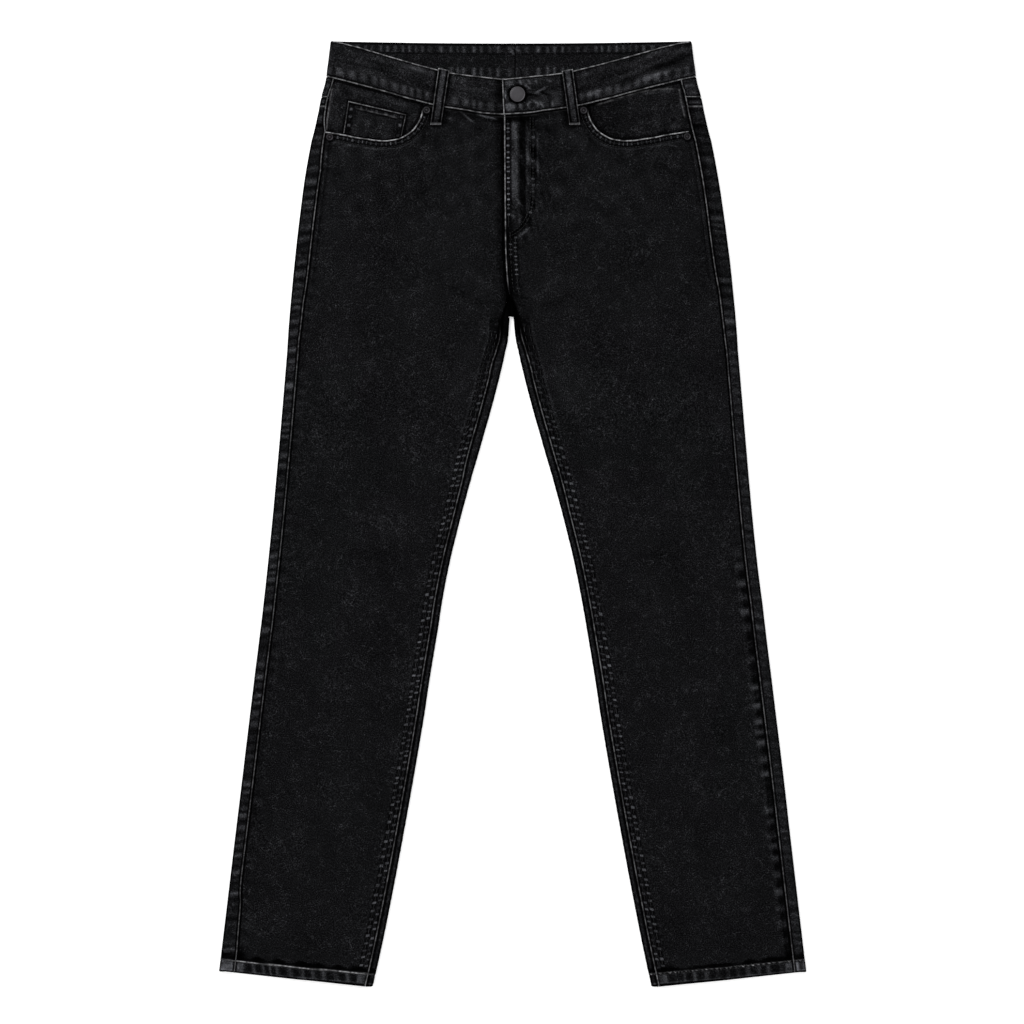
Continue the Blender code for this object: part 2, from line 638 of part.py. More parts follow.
def waistband(side):
    """Half of the waistband, from the centre back round the side to its end at the front."""
    sign = SIDES[side]
    top_row, low_row = [], []
    for x in [BAND_CENTRE_BACK + sign * GAP / 2, *(sign * np.array(BACK_BAND_STATIONS))]:
        top_row.append((x, float(back_band_top(x)), 0.0))
        low_row.append((x, float(back_band_top(x)) + BAND_DEPTH, 0.0))
    for row, down in ((top_row, 0.0), (low_row, BAND_DEPTH)):
        out, up = fold(sign * float(band_side_x(down)), BAND_FOLD_HEIGHT, sign)
        row += [(x, down, height) for x, height in zip(out, up)]
    for x in [*(sign * np.array(SIDE_BAND_STATIONS)), *BAND_END_STATIONS[side]]:
        settle = math.exp(-(((band_side_x(0) - abs(x)) / EDGE_SOFTNESS) ** 2))
        height = BAND_FRONT_HEIGHT + (BAND_FOLD_HEIGHT - BAND_FRONT_HEIGHT) * settle
        if side == "left":
            height += LAP_RISE * float(ease((LAP_SLOPE_TO - x) / (LAP_SLOPE_TO - LAP_FLAT_TO)))
        end_x = LAP_END_LOW if x == LAP_END_TOP else x
        top_row.append((x, float(band_top(x)), height))
        low_row.append((end_x, float(waist_seam(end_x)), height))
    top, low = np.array(top_row), np.array(low_row)
    rows = [top, (top + low) / 2, low]
    return cloth("waistband_" + side, rows, BAND_CLOTH, BAND_DENIM, flip=side == "left")


def pocket_facing(side):
    """The cloth that shows inside a front pocket's scoop. The front panel's turned edge lies on it."""
    sign = SIDES[side]
    shares = np.linspace(0, 1, FACING_COLUMNS)
    start = FRONT_MIDDLE + sign * POCKET_FACING_START
    rows = []
    end_top = float(waist_seam(sign * outseam_x(side, BAND_DEPTH))) + GAP
    for share in np.linspace(0, 1, FACING_ROWS):
        end_down = end_top + (POCKET_FACING_END - end_top) * share
        end = sign * (float(outseam_x(side, end_down)) - SEAM_GAP)
        x = start + (end - start) * shares
        top = waist_seam(x) + GAP
        down = top + (POCKET_FACING_END - top) * share
        rows.append(np.stack([x, down, facing_height(x, down)], axis=-1))
    return cloth("pocket_facing_" + side, rows, DENIM, FACING_DENIM, flip=side == "right")


def coin_pocket():
    """The small pocket on the wearer's right facing, down to the scoop, which hides the rest of it."""
    top_x, top_down = np.linspace(*np.array(COIN_TOP), COIN_COLUMNS).T
    foot_x = np.linspace(*COIN_FOOT_X, COIN_COLUMNS)
    foot_down = curve(SCOOP, np.abs(foot_x - FRONT_MIDDLE)) - COIN_FOOT_INSET
    rows = []
    for share in np.linspace(0, 1, COIN_ROWS):
        x = top_x + (foot_x - top_x) * share
        down = top_down + (foot_down - top_down) * share
        rows.append(np.stack([x, down, facing_height(x, down) + GAP + COIN_CLOTH], axis=-1))
    return cloth("coin_pocket", rows, COIN_CLOTH, FACING_DENIM)


def fly():
    """The J-shaped fly facing under the wearer's left front, and the closed zip under it."""
    steps = 8
    turn = np.linspace(0, 1, steps + 1) * math.pi / 2
    curve_x = FLY_TOE + (FLY_WIDTH - FLY_TOE) * np.cos(turn)
    curve_down = FLY_CURVE_FROM + (FLY_END - FLY_CURVE_FROM) * np.sin(turn)
    outline = [(-5.5, 83.0), (FLY_WIDTH, 81.5), *zip(curve_x, curve_down), (-4.5, FLY_END)]
    low = HIP_HEIGHT + GAP
    plate("fly_facing", outline, low, low + FACING_CLOTH, FACING_DENIM)
    zip_outline = [(0.0, 84.0), (ZIP_WIDTH, 84.0), (ZIP_WIDTH, 170.0)]
    zip_outline += [(ZIP_WIDTH - 9, ZIP_END), (0.6, ZIP_END)]
    plate("zip", zip_outline, HIP_HEIGHT - ZIP_THICK, HIP_HEIGHT, ZIP_TAPE)


def front_loop(loop):
    """A belt loop: over the waistband's top edge, along its face and down to the front panel."""
    side = "right" if loop.top_x < FRONT_MIDDLE else "left"
    edges = np.array([-LOOP_WIDTH / 2, LOOP_WIDTH / 2])
    on_band = BAND_FRONT_HEIGHT + GAP + LOOP_CLOTH
    seams = waist_seam(loop.end_x + edges)
    end = np.array([loop.end_x + edges]).T
    on_panel = seat_on(side, end, np.linspace(seams.max() + 6, LOOP_END, 5)) + LOOP_CLOTH
    columns = []
    for edge, seam_down in zip(edges, seams):
        top_down = float(band_top(loop.top_x + edge))
        # Rows of (down, height), from behind the band's top edge to the bar tack on the panel.
        profile = [
            (top_down - GAP - LOOP_CLOTH, BAND_FRONT_HEIGHT - 1.6),
            (top_down - GAP - LOOP_CLOTH, on_band - 0.9),
            (top_down - GAP - 0.7, on_band),
            (top_down + 5, on_band),
            (top_down + 13, on_band + LOOP_SLACK),
            (seam_down - 13, on_band + LOOP_SLACK),
            (seam_down - 4, on_band + 0.2),
            (seam_down + 2, on_band),
            (seam_down + 6.5, on_panel + 0.2),
            (seam_down + 10, on_panel),
            (LOOP_END, on_panel),
        ]
        column = []
        for down, height in profile:
            share = (down - top_down) / (LOOP_END - top_down)
            column.append((loop.top_x + edge + (loop.end_x - loop.top_x) * share, down, height))
        columns.append(column)
    return cloth(loop.name, np.swapaxes(columns, 0, 1), LOOP_CLOTH, BAND_DENIM)


def back_loop(loop, bands):
    """A belt loop under the back waistband, in a recess of the band so that the underside is flat."""
    top = float(back_band_top(loop.top_x)) + BACK_LOOP_INSET
    half = LOOP_WIDTH / 2
    low = top + BAND_DEPTH - 2 * BACK_LOOP_INSET
    outline = [(loop.top_x - half, top), (loop.top_x + half, top)]
    outline += [(loop.top_x + half, low), (loop.top_x - half, low)]
    plate(loop.name, outline, 0.0, BACK_LOOP_CLOTH, BAND_DENIM)
    half += GAP
    recess = [(loop.top_x - half, top - 3), (loop.top_x + half, top - 3)]
    recess += [(loop.top_x + half, low + 3), (loop.top_x - half, low + 3)]
    cutter = plate(loop.name + "_recess", recess, -2.0, BACK_LOOP_CLOTH + GAP)
    for side, band in bands.items():
        if (loop.top_x - BAND_CENTRE_BACK) * SIDES[side] >= 0:
            cut(band, cutter)


def back_pocket(side, panel):
    """A five-sided back pocket, level with the panel's underside, and the recess that takes it."""
    sign = SIDES[side]

    def outline(more):
        middle = (POCKET_INNER_LOW + POCKET_OUTER_LOW) / 2
        corners = [
            (POCKET_INNER_TOP - more, POCKET_TOP - more),
            (POCKET_OUTER_TOP + more, POCKET_TOP - more),
            (POCKET_OUTER_LOW + more, POCKET_CORNER + more / 2),
            (middle, POCKET_POINT + more),
            (POCKET_INNER_LOW - more, POCKET_CORNER + more / 2),
        ]
        return [(sign * x, down) for x, down in corners]

    plate("back_pocket_" + side, outline(0), 0.0, DENIM, BLACK_DENIM)
    cut(panel, plate("back_pocket_recess_" + side, outline(GAP), -2.0, DENIM + GAP))


def button(bands):
    """The tack button: its cap on the upper band, its shank in the eyelet, its nail in the lower band."""
    lap_top = BAND_FRONT_HEIGHT + LAP_RISE
    base = lap_top + GAP
    profile = [
        (0, base + 2.3), (5.6, base + 2.3), (6.2, base + 2.1), (6.8, base + 2.6), (7.8, base + 2.5),
        (BUTTON_RADIUS, base + 1.7), (BUTTON_RADIUS, base + 0.7), (7.9, base), (SHANK_RADIUS, base),
        (SHANK_RADIUS, BAND_FRONT_HEIGHT + GAP), (NAIL_RADIUS, BAND_FRONT_HEIGHT + GAP),
        (NAIL_RADIUS, NAIL_END), (0, NAIL_END),
    ]
    turned("button", profile, BUTTON_X, BUTTON_DOWN, GUNMETAL, 24)
    half = BUTTONHOLE_WIDTH / 2
    first = math.asin(half / EYELET_RADIUS)
    turns = np.linspace(first, 2 * math.pi - first, 15)
    hole = [
        (BUTTON_X + EYELET_RADIUS * math.cos(a), BUTTON_DOWN + EYELET_RADIUS * math.sin(a)) for a in turns
    ]
    hole += [(BUTTONHOLE_END, BUTTON_DOWN - half), (BUTTONHOLE_END, BUTTON_DOWN + half)]
    cut(bands["left"], plate("buttonhole", hole, BAND_FRONT_HEIGHT + 0.1, lap_top + 2))
    nail_hole = circle(BUTTON_X, BUTTON_DOWN, NAIL_HOLE_RADIUS, 10)
    cut(bands["right"], plate("nail_hole", nail_hole, BAND_CLOTH + 0.1, BAND_FRONT_HEIGHT + 1))


def rivet(place, panels):
    """A rivet by a pocket's corner: a cap on the cloth and a post in its hole."""
    side = "right" if place.x < 0 else "left"
    rim_x, rim_down = np.array(circle(place.x, place.down, RIVET_RADIUS)).T
    seat = seat_on(side, rim_x, rim_down)
    profile = [
        (0, seat + 1.3), (1.2, seat + 1.2), (1.7, seat + 0.7), (2.6, seat + 0.8), (3.4, seat + 1.2),
        (RIVET_RADIUS - 0.3, seat + 0.7), (RIVET_RADIUS, seat), (RIVET_POST_RADIUS, seat),
        (RIVET_POST_RADIUS, seat - 1.3), (0, seat - 1.3),
    ]
    turned(place.name, profile, place.x, place.down, GUNMETAL, 14)
    hole = circle(place.x, place.down, RIVET_HOLE_RADIUS, 10)
    cut(panels[side], plate(place.name + "_hole", hole, seat - 4, seat + 2))


def main():
    global pieces, cutters, jeans
    for old in list(bpy.data.objects):
        bpy.data.objects.remove(old)
    pieces = bpy.data.collections.new("skinny_jeans")
    cutters = bpy.data.collections.new("cutters")
    bpy.context.scene.collection.children.link(pieces)
    bpy.context.scene.collection.children.link(cutters)
    jeans = bpy.data.objects.new("jeans", None)
    pieces.objects.link(jeans)
    bands = {side: waistband(side) for side in SIDES}
    fronts = {side: front_panel(side) for side in SIDES}
    for side in SIDES:
        yoke(side)
        back_pocket(side, back_panel(side))
        pocket_facing(side)
    coin_pocket()
    fly()
    for loop in FRONT_LOOPS:
        front_loop(loop)
    for loop in BACK_LOOPS:
        back_loop(loop, bands)
    button(bands)
    for place in RIVETS:
        rivet(place, fronts)


main()
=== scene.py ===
"""Looks of the black washed skinny jeans.

Every piece of cloth is a closed shell in the place of its solid, with seams, puckers, sewing and wear.
Sizes are in millimetres: x, "down" below the top of the waistband, and height above the surface.
"""

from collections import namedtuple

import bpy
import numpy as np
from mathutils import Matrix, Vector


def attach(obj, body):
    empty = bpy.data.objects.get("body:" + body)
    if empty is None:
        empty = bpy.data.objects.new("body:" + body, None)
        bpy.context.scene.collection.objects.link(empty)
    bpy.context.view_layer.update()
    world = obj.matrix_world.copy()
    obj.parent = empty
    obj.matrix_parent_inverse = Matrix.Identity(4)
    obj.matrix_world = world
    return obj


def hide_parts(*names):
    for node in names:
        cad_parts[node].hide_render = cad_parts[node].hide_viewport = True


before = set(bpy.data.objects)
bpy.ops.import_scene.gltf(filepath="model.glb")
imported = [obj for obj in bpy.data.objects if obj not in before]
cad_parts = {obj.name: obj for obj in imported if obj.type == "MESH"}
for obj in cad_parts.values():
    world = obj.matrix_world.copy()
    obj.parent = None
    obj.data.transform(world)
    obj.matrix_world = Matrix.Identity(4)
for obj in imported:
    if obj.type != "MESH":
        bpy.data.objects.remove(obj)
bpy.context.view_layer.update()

# Back panels --------------------------------------------------------------------------------------
# The backs of the legs: black denim, 1.2 mm thick, garment washed. Each is folded round both edges of
# its leg and sewn to the front at the outseam and the inseam, so its strips on the front are puckered.

MM = 0.001
LENGTH = 1040.0
DENIM = 1.2
GAP = 0.3
SEAM_GAP = 0.35
SIDES = {"right": -1.0, "left": 1.0}
EDGE_HEIGHT = 5.2
HIP_HEIGHT = 4.6
LEG_HEIGHT = 3.6
HEM_RISE = 1.6
HEM_EDGE_RISE = 0.8
EDGE_SOFTNESS = 18.0
HEM_OUTER_DOWN = 1022.0
HEM_SLOPE = LENGTH - HEM_OUTER_DOWN
HEM_CLOTH = 2.3
HEM_DEPTH = 14.0
HEM_STEP = 1.5
HEM_ROWS = 24
HEM_FINER = 8
TILT_START = 400.0
CROTCH = 304.0
CROTCH_SPREAD = 1.2
SEAMS_MEET = {"right": 270.0, "left": 284.0}
CENTRE_BACK_X = -3.0
CENTRE_BACK_LEAN = -3.0
BACK_SEAM_GAP = 0.02
YOKE_SIDE_DOWN = 62.0
YOKE_CENTRE_DOWN = 103.0
YOKE_FALL = YOKE_CENTRE_DOWN - YOKE_SIDE_DOWN

# Half of the whole width at each down, and half of the gap between the legs.
OUTER_EDGE = [
    (0, 197.8), (22, 200.0), (43, 203.3), (54, 206.3), (76, 211.0), (109, 218.9), (175, 230.3),
    (263, 240.9), (340, 247.2), (428, 254.7), (516, 262.7), (604, 271.8), (692, 282.2), (780, 293.0),
    (868, 303.8), (956, 314.4), (1022, 322.3),
]
INNER_EDGE = [
    (304, 2.2), (318, 3.4), (340, 7.4), (362, 12.3), (384, 17.8), (428, 30.0), (472, 42.8), (516, 54.9),
    (560, 66.0), (604, 75.2), (648, 83.0), (736, 97.0), (824, 112.0), (912, 128.0), (1040, 154.0),
]
# The two sides differ: how far each side's outer and inner edges and its hem lie off the even shape.
OUTER_SHIFT = {
    "right": [
        (0, -1.2), (110, -1.0), (180, -0.3), (240, 0.2), (560, 0.6), (660, 0.3), (800, 0.5), (1022, 0.5),
    ],
    "left": [
        (0, 0.2), (110, 0.7), (180, 1.1), (240, 1.7), (350, 2.0), (480, 1.7), (620, 2.8), (760, 2.9),
        (860, 2.4), (1022, 2.1),
    ],
}
INNER_SHIFT = {
    "right": [(296, 0), (330, 1.0), (560, 1.1), (640, 2.0), (920, 2.0), (1040, 1.2)],
    "left": [(0, 0), (1, 0)],
}
HEM_SHIFT = {"right": 1.5, "left": 2.1}
# How far in from the outer edge the outseam lies, and x of the front panels' inner edges.
OUTSEAM = {
    "right": [
        (41, 8.6), (62, 7.4), (98, 12.2), (142, 16.2), (230, 16.4), (285, 14.6), (330, 12.7),
        (912, 12.7), (945, 15.0), (1000, 17.4), (1022, 17.4),
    ],
    "left": [(41, 17.4), (110, 17.6), (208, 18.2), (274, 15.6), (340, 12.8), (1022, 12.8)],
}
FLY_UNDERLAP = 6.7
FLY_EDGE = [(41, -8.4), (140, -7.8), (219, -7.1), (240, -6.4), (262, -5.0), (278, -2.6)]
FRONT_INNER_EDGE = {
    "right": [
        (252, 0.95), (268, -1.0), (284, -5.4), (304, -11.6), (320, -12.4), (335, -15.8), (350, -20.6),
        (366, -24.6),
    ],
    "left": [(278, -2.6), (284, 1.2), (304, 7.0), (320, 9.6), (335, 13.8), (350, 18.2), (366, 22.4)],
}
INSEAM = {
    "right": [(366, 11.0), (428, 11.0), (480, 8.8), (516, 7.8), (1040, 7.8)],
    "left": [(366, 8.8), (450, 8.8), (516, 7.9), (1040, 7.9)],
}
BACK_POCKET = [(40, 126), (172, 126), (166, 250), (106, 272), (46, 250)]
ROW_STEP = 1.6
LEG_ROW_STEP = 1.7
# The rows below this one are level. The columns at fixed steps from the seam, closer on a narrow strip,
# and those round the fold; and the shares of the strip by the inseam.
LEVEL_FROM = 112.0
STRIP_COLUMNS = [0, 0.3, 0.8, 1.4, 2.1, 3.0, 4.0]
STRIP_FULL_FROM = 4.4
FOLD_ANGLES = np.radians(np.linspace(90, -90, 9))
FIXED_COLUMNS = len(STRIP_COLUMNS) + len(FOLD_ANGLES) - 1
INNER_STRIP_SHARES = np.array([0.2, 0.38, 0.53, 0.66, 0.77, 0.86, 0.94, 1.0])
FOLD_MIDDLE = 2.4
# A point lower than ON_FLOOR lies on the surface. FAR is past every piece, and NO_ROW is too far from a
# row of sewing for its stitches to show.
ON_FLOOR = 0.01
FAR = 1e3
NO_ROW = 20.0


def curve(table, at):
    """A smooth curve through the table's rows that doesn't overshoot them, read at each place."""
    place, value = np.array(table, float).T
    step = np.diff(place)
    slope = np.diff(value) / step
    wide = 2 * step[1:] + step[:-1]
    narrow = step[1:] + 2 * step[:-1]
    turning = slope[:-1] * slope[1:] <= 0
    before = np.where(turning, 1.0, slope[:-1])
    after = np.where(turning, 1.0, slope[1:])
    middle = np.where(turning, 0.0, (wide + narrow) / (wide / before + narrow / after))
    tangent = np.concatenate([slope[:1], middle, slope[-1:]])
    at = np.asarray(at, float)
    k = np.clip(np.searchsorted(place, at, side="right") - 1, 0, len(step) - 1)
    t = np.clip((at - place[k]) / step[k], 0, 1)
    bend = (2 * slope[k] - tangent[k] - tangent[k + 1]) * (t - 1) + slope[k] - tangent[k]
    return value[k] + step[k] * t * (tangent[k] + t * bend)


def ease(t):
    """0 up to t = 0, 1 from t = 1, with a smooth rise between."""
    t = np.clip(t, 0, 1)
    return t * t * (3 - 2 * t)


def between(at, low, high, soft=0.6):
    """1 from low to high, fading to 0 over soft on both sides."""
    return ease((at - low) / soft + 1) * ease((high - at) / soft + 1)


def bands(at, *rows):
    """The sum of bands along a line, each row being (strength, low, high, soft) by the distance at."""
    return sum(strength * between(at, low, high, soft) for strength, low, high, soft in rows)


def hem_height(x, down):
    """How far a point is above the hem's edge, which falls towards the inseam."""
    widest, narrowest = OUTER_EDGE[-1][1], INNER_EDGE[-1][1]
    return HEM_OUTER_DOWN + HEM_SLOPE * (widest - np.abs(x)) / (widest - narrowest) - down


def hem_share(x, down):
    """1 on the turned hem, falling to 0 in a short step above it."""
    return ease((HEM_DEPTH + HEM_STEP - hem_height(x, down)) / HEM_STEP)


def edge_height(x, down):
    """Height of the folded edges, a little more on the hem."""
    return EDGE_HEIGHT + HEM_EDGE_RISE * hem_share(x, down)


def upper_height(x, down):
    """Height of the outer face of the upper layer: high at the folded edges, lower between them."""
    fold = EDGE_HEIGHT / 2
    middle = HIP_HEIGHT - (HIP_HEIGHT - LEG_HEIGHT) * ease((down - 330) / 150)
    middle = middle + HEM_RISE * hem_share(x, down)
    from_outer = np.maximum(curve(OUTER_EDGE, down) - fold - np.abs(x), 0)
    from_inner = np.maximum(np.abs(x) - curve(INNER_EDGE, down) - fold, 0)
    near_outer = np.exp(-((from_outer / EDGE_SOFTNESS) ** 2))
    near_inner = np.exp(-((from_inner / EDGE_SOFTNESS) ** 2)) * ease((down - 290) / 30)
    near = np.maximum(near_outer, near_inner)
    return middle + (edge_height(x, down) - middle) * near


def outseam_x(side, down):
    """How far from the middle the outseam lies: the outer edge less the outseam's distance from it."""
    return curve(OUTER_EDGE, down) - curve(OUTSEAM[side], down)


def front_inner_x(side, down):
    """x of the front panel's inner edge: under or over the fly, round the crotch, down the inseam."""
    down = np.asarray(down, float)
    fly = curve(FLY_EDGE, down) + (FLY_UNDERLAP if side == "right" else 0)
    crotch = curve(FRONT_INNER_EDGE[side], down)
    inseam = SIDES[side] * (curve(INNER_EDGE, down) + curve(INSEAM[side], down))
    table = FRONT_INNER_EDGE[side]
    return np.where(down < table[0][0], fly, np.where(down < table[-1][0], crotch, inseam))


def beats(along, pitch, seed):
    """Counts the puckers along a seam: a whole number at each crest, the crests uneven round a pitch."""
    draw = np.random.default_rng(seed)
    crest = np.cumsum(pitch * draw.uniform(0.6, 1.45, int(1500 / pitch))) - 30 * pitch
    return np.interp(along, crest, np.arange(len(crest)))


def crests(beat, seed, narrow=1.5, least=0.2):
    """Height of the puckers: from least to 1 on a crest, uneven from one to the next, 0 between them."""
    size = np.random.default_rng(seed).uniform(least, 1, 2000)
    return size[np.rint(beat).astype(int)] * (0.5 + 0.5 * np.cos(2 * np.pi * beat)) ** narrow


def waves(x, down, length, seed):
    """Unevenness of the cloth, about -1 to 1: the sum of eight sine waves of about one length."""
    draw = np.random.default_rng(seed)
    turn = draw.uniform(0, 2 * np.pi, 8)
    phase = draw.uniform(0, 2 * np.pi, 8)
    rate = 2 * np.pi / (length * draw.uniform(0.7, 1.4, 8))
    along = x[..., None] * np.cos(turn) + down[..., None] * np.sin(turn)
    return np.sin(along * rate + phase).sum(axis=-1) / 3


def stacked(*columns):
    """Columns side by side in a last axis, each first spread to the shape that they share."""
    return np.stack(np.broadcast_arrays(*columns), axis=-1)


def run_along(points, axis=0, missing=0.0):
    """How far along a line, or along a grid's rows or columns, each point is: the sum of the steps.

    A step to or from a missing point counts as the missing length.
    """
    steps = np.nan_to_num(np.linalg.norm(np.diff(points, axis=axis), axis=-1), nan=missing)
    return np.insert(np.cumsum(steps, axis=axis), 0, 0, axis=axis)


def to_world(points):
    """Points as (x, down, height) in millimetres, made metres with the waist towards +Y.

    Each side is eased off the even shape: all of its edge's shift at an edge, fading towards the other.
    """
    x, down, height = np.moveaxis(points, -1, 0)
    inner, outer = curve(INNER_EDGE, down), curve(OUTER_EDGE, down)
    share = np.clip((np.abs(x) - inner) / (outer - inner), 0, 1)
    moved_x, moved_down = x, down
    for side, sign in SIDES.items():
        here = x * sign > 0
        shift = curve(OUTER_SHIFT[side], down) * share**3 + curve(INNER_SHIFT[side], down) * (1 - share)
        moved_x = np.where(here, x + shift, moved_x)
        lower = HEM_SHIFT[side] * ease((down - 700) / 300) * np.minimum(2 * share, 1)
        moved_down = np.where(here, down + lower, moved_down)
    return stacked(moved_x, LENGTH / 2 - moved_down, height) * MM


# Tone is a power of two on the cloth's colour: paler wear and darker unfaded cloth, and also painted shade
# and shadows; the dark lines in the seams' gaps are partly painted shade.
Looks = namedtuple("Looks", "relief tone wear row beat gain")


def plain(x, **given):
    """The given looks of some points, with no relief, tone, wear or sewing where none is given."""
    zero = np.zeros(x.shape)
    return Looks(zero, zero.copy(), zero.copy(), zero + NO_ROW, zero.copy(), zero.copy())._replace(**given)


def from_sides(grid, top=True, foot=True):
    """How far each point of a grid is from its nearest side, along the rows and the columns."""
    fall = run_along(grid, 0, FAR)
    run = run_along(grid, 1, FAR)
    sides = [run, run[:, -1:] - run]
    sides += [fall] if top else []
    sides += [fall[-1] - fall] if foot else []
    return np.minimum.reduce(sides)


def attribute(mesh, name, values):
    """A value or a vector kept at each point of a mesh, for the material to read."""
    kind, key = ("FLOAT", "value") if values.ndim == 1 else ("FLOAT_VECTOR", "vector")
    mesh.attributes.new(name, kind, "POINT").data.foreach_set(key, values.astype(np.float32).ravel())


def faces_mesh(name, points, loops, sizes):
    """A smooth mesh from its points in metres and its faces' corners, given one after another."""
    mesh = bpy.data.meshes.new(name)
    mesh.vertices.add(len(points))
    mesh.vertices.foreach_set("co", np.asarray(points, np.float32).ravel())
    mesh.loops.add(len(loops))
    mesh.loops.foreach_set("vertex_index", np.asarray(loops, np.int32))
    mesh.polygons.add(len(sizes))
    mesh.polygons.foreach_set("loop_start", np.asarray(np.cumsum(sizes) - sizes, np.int32))
    mesh.update(calc_edges=True)
    mesh.shade_smooth()
    return mesh


def put(name, mesh, material, nodes):
    """The finished piece, riding on the body in the place of its solids."""
    made = bpy.data.objects.new(name, mesh)
    bpy.context.scene.collection.objects.link(made)
    mesh.materials.append(material)
    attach(made, "root")
    if nodes:
        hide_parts(*nodes)
    return made


def cloth(name, material, grids, looks, wall, joins=(), flip=False):
    """A closed shell of cloth with round edges.

    A grid is the outer face in rows of points, and a missing point is NaN. Each further grid goes on
    from the one before, and a join gives the columns of both that meet. A point moves along its normal
    by the relief, and the inner face lies the wall's thickness below it. Both faces curve to the wall's
    middle at the sides.
    """
    there = [np.isfinite(grid[..., 0]) for grid in grids]
    first = 0
    corners, sizes, numbers = [], [], []
    for here in there:
        number = np.where(here, first + np.cumsum(here).reshape(here.shape) - 1, -1)
        first += here.sum()
        quads = stacked(number[:-1, :-1], number[1:, :-1], number[1:, 1:], number[:-1, 1:])
        quads = quads[(quads >= 0).all(axis=-1)]
        corners.append(quads.ravel())
        sizes.append(np.full(len(quads), 4))
        numbers.append(number)
    for k, (upper, lower) in enumerate(joins):
        above, below = numbers[k][-1], numbers[k + 1][0]
        for a, b, c, d in zip(upper[:-1], upper[1:], lower[:-1], lower[1:]):
            strip = np.concatenate([[above[a]], below[c : d + 1], above[b:a:-1]])
            if (strip >= 0).all():
                corners.append(strip)
                sizes.append([len(strip)])
    loops, sizes = np.concatenate(corners), np.concatenate(sizes)
    if flip:
        loops, sizes = loops[::-1], sizes[::-1]
    last = len(grids) - 1
    near = [from_sides(grid, k == 0, k == last)[there[k]] for k, grid in enumerate(grids)]
    near = np.concatenate(near)
    place = to_world(np.concatenate([grid[here] for grid, here in zip(grids, there)]))
    total = len(place)
    start = np.cumsum(sizes) - sizes
    follow = np.roll(loops, -1)
    follow[start + sizes - 1] = loops[start]
    area = np.add.reduceat(np.cross(place[loops], place[follow]), start) / 2
    normal = np.zeros_like(place)
    np.add.at(normal, loops, np.repeat(area, sizes, axis=0))
    normal /= np.linalg.norm(normal, axis=1, keepdims=True)
    wall = np.broadcast_to(np.asarray(wall, float), near.shape)
    rounding = 0.2 + 0.8 * np.sqrt(1 - (1 - np.clip(near / (0.6 * wall), 0, 1)) ** 2)
    outer, inner = (
        place + normal * ((looks.relief - wall / 2 * (1 - way * rounding)) * MM)[:, None] for way in (1, -1)
    )
    points = np.concatenate([outer, inner])
    points[:, 2] = np.maximum(points[:, 2], 0)
    alone = ~np.isin(loops * total + follow, follow * total + loops)
    a, b = loops[alone], follow[alone]
    rim = stacked(b, a, a + total, b + total)
    all_loops = np.concatenate([loops, loops[::-1] + total, rim.ravel()])
    all_sizes = np.concatenate([sizes, sizes[::-1], np.full(len(rim), 4)])
    mesh = faces_mesh(name, points, all_loops, all_sizes)
    attribute(mesh, "tone", np.tile(looks.tone, 2))
    attribute(mesh, "wear", np.tile(looks.wear, 2))
    attribute(mesh, "rows", np.tile(stacked(looks.row, looks.beat, looks.gain), (2, 1)))
    made = put(name + "_cloth", mesh, material, [name])


def node(tree, kind, inputs, **settings):
    """A node with its settings. An input is a value, or another node's output that it is linked to."""
    made = tree.nodes.new(kind)
    for key, value in settings.items():
        setattr(made, key, value)
    for key, value in inputs.items():
        if isinstance(value, bpy.types.NodeSocket):
            tree.links.new(value, made.inputs[key])
        else:
            made.inputs[key].default_value = value
    return made


def maths(tree, operation, *values):
    """The result of a Math node."""
    return node(tree, "ShaderNodeMath", dict(enumerate(values)), operation=operation).outputs[0]


def scaled(tree, vector, share):
    """A vector or a colour times a share."""
    return node(tree, "ShaderNodeVectorMath", {0: vector, "Scale": share}, operation="SCALE").outputs[0]


def summed(tree, first, *rows):
    """A first value, plus each further value times its gain."""
    total = first
    for value, gain in rows:
        total = maths(tree, "MULTIPLY_ADD", value, gain, total)
    return total


def smooth(tree, value, low, high):
    """0 up to low, 1 from high, with a smooth rise between; falling where high is below low."""
    inputs = {"Value": value, "From Min": min(low, high), "From Max": max(low, high)}
    inputs["To Min"], inputs["To Max"] = (0.0, 1.0) if low < high else (1.0, 0.0)
    return node(tree, "ShaderNodeMapRange", inputs, interpolation_type="SMOOTHSTEP").outputs["Result"]


def noise(tree, vector, scale, detail=0.0, rough=0.5, output="Fac"):
    """Smooth noise, from 0 to 1 round a middle of 0.5."""
    inputs = {"Vector": vector, "Scale": scale, "Detail": detail, "Roughness": rough}
    return node(tree, "ShaderNodeTexNoise", inputs).outputs[output]


def uneven(tree, *noise_inputs):
    """Noise less its middle value, so that it goes to both sides of 0."""
    return maths(tree, "SUBTRACT", noise(tree, *noise_inputs), 0.5)


def group(name, vectors, values, results):
    """A new shader node group with its sockets, its own input sockets and its output node."""
    tree = bpy.data.node_groups.new(name, "ShaderNodeTree")
    for label in (*vectors, *values):
        kind = "NodeSocketVector" if label in vectors else "NodeSocketFloat"
        tree.interface.new_socket(label, in_out="INPUT", socket_type=kind)
    for label in results:
        tree.interface.new_socket(label, in_out="OUTPUT", socket_type="NodeSocketFloat")
    return tree, tree.nodes.new("NodeGroupInput").outputs, tree.nodes.new("NodeGroupOutput").inputs


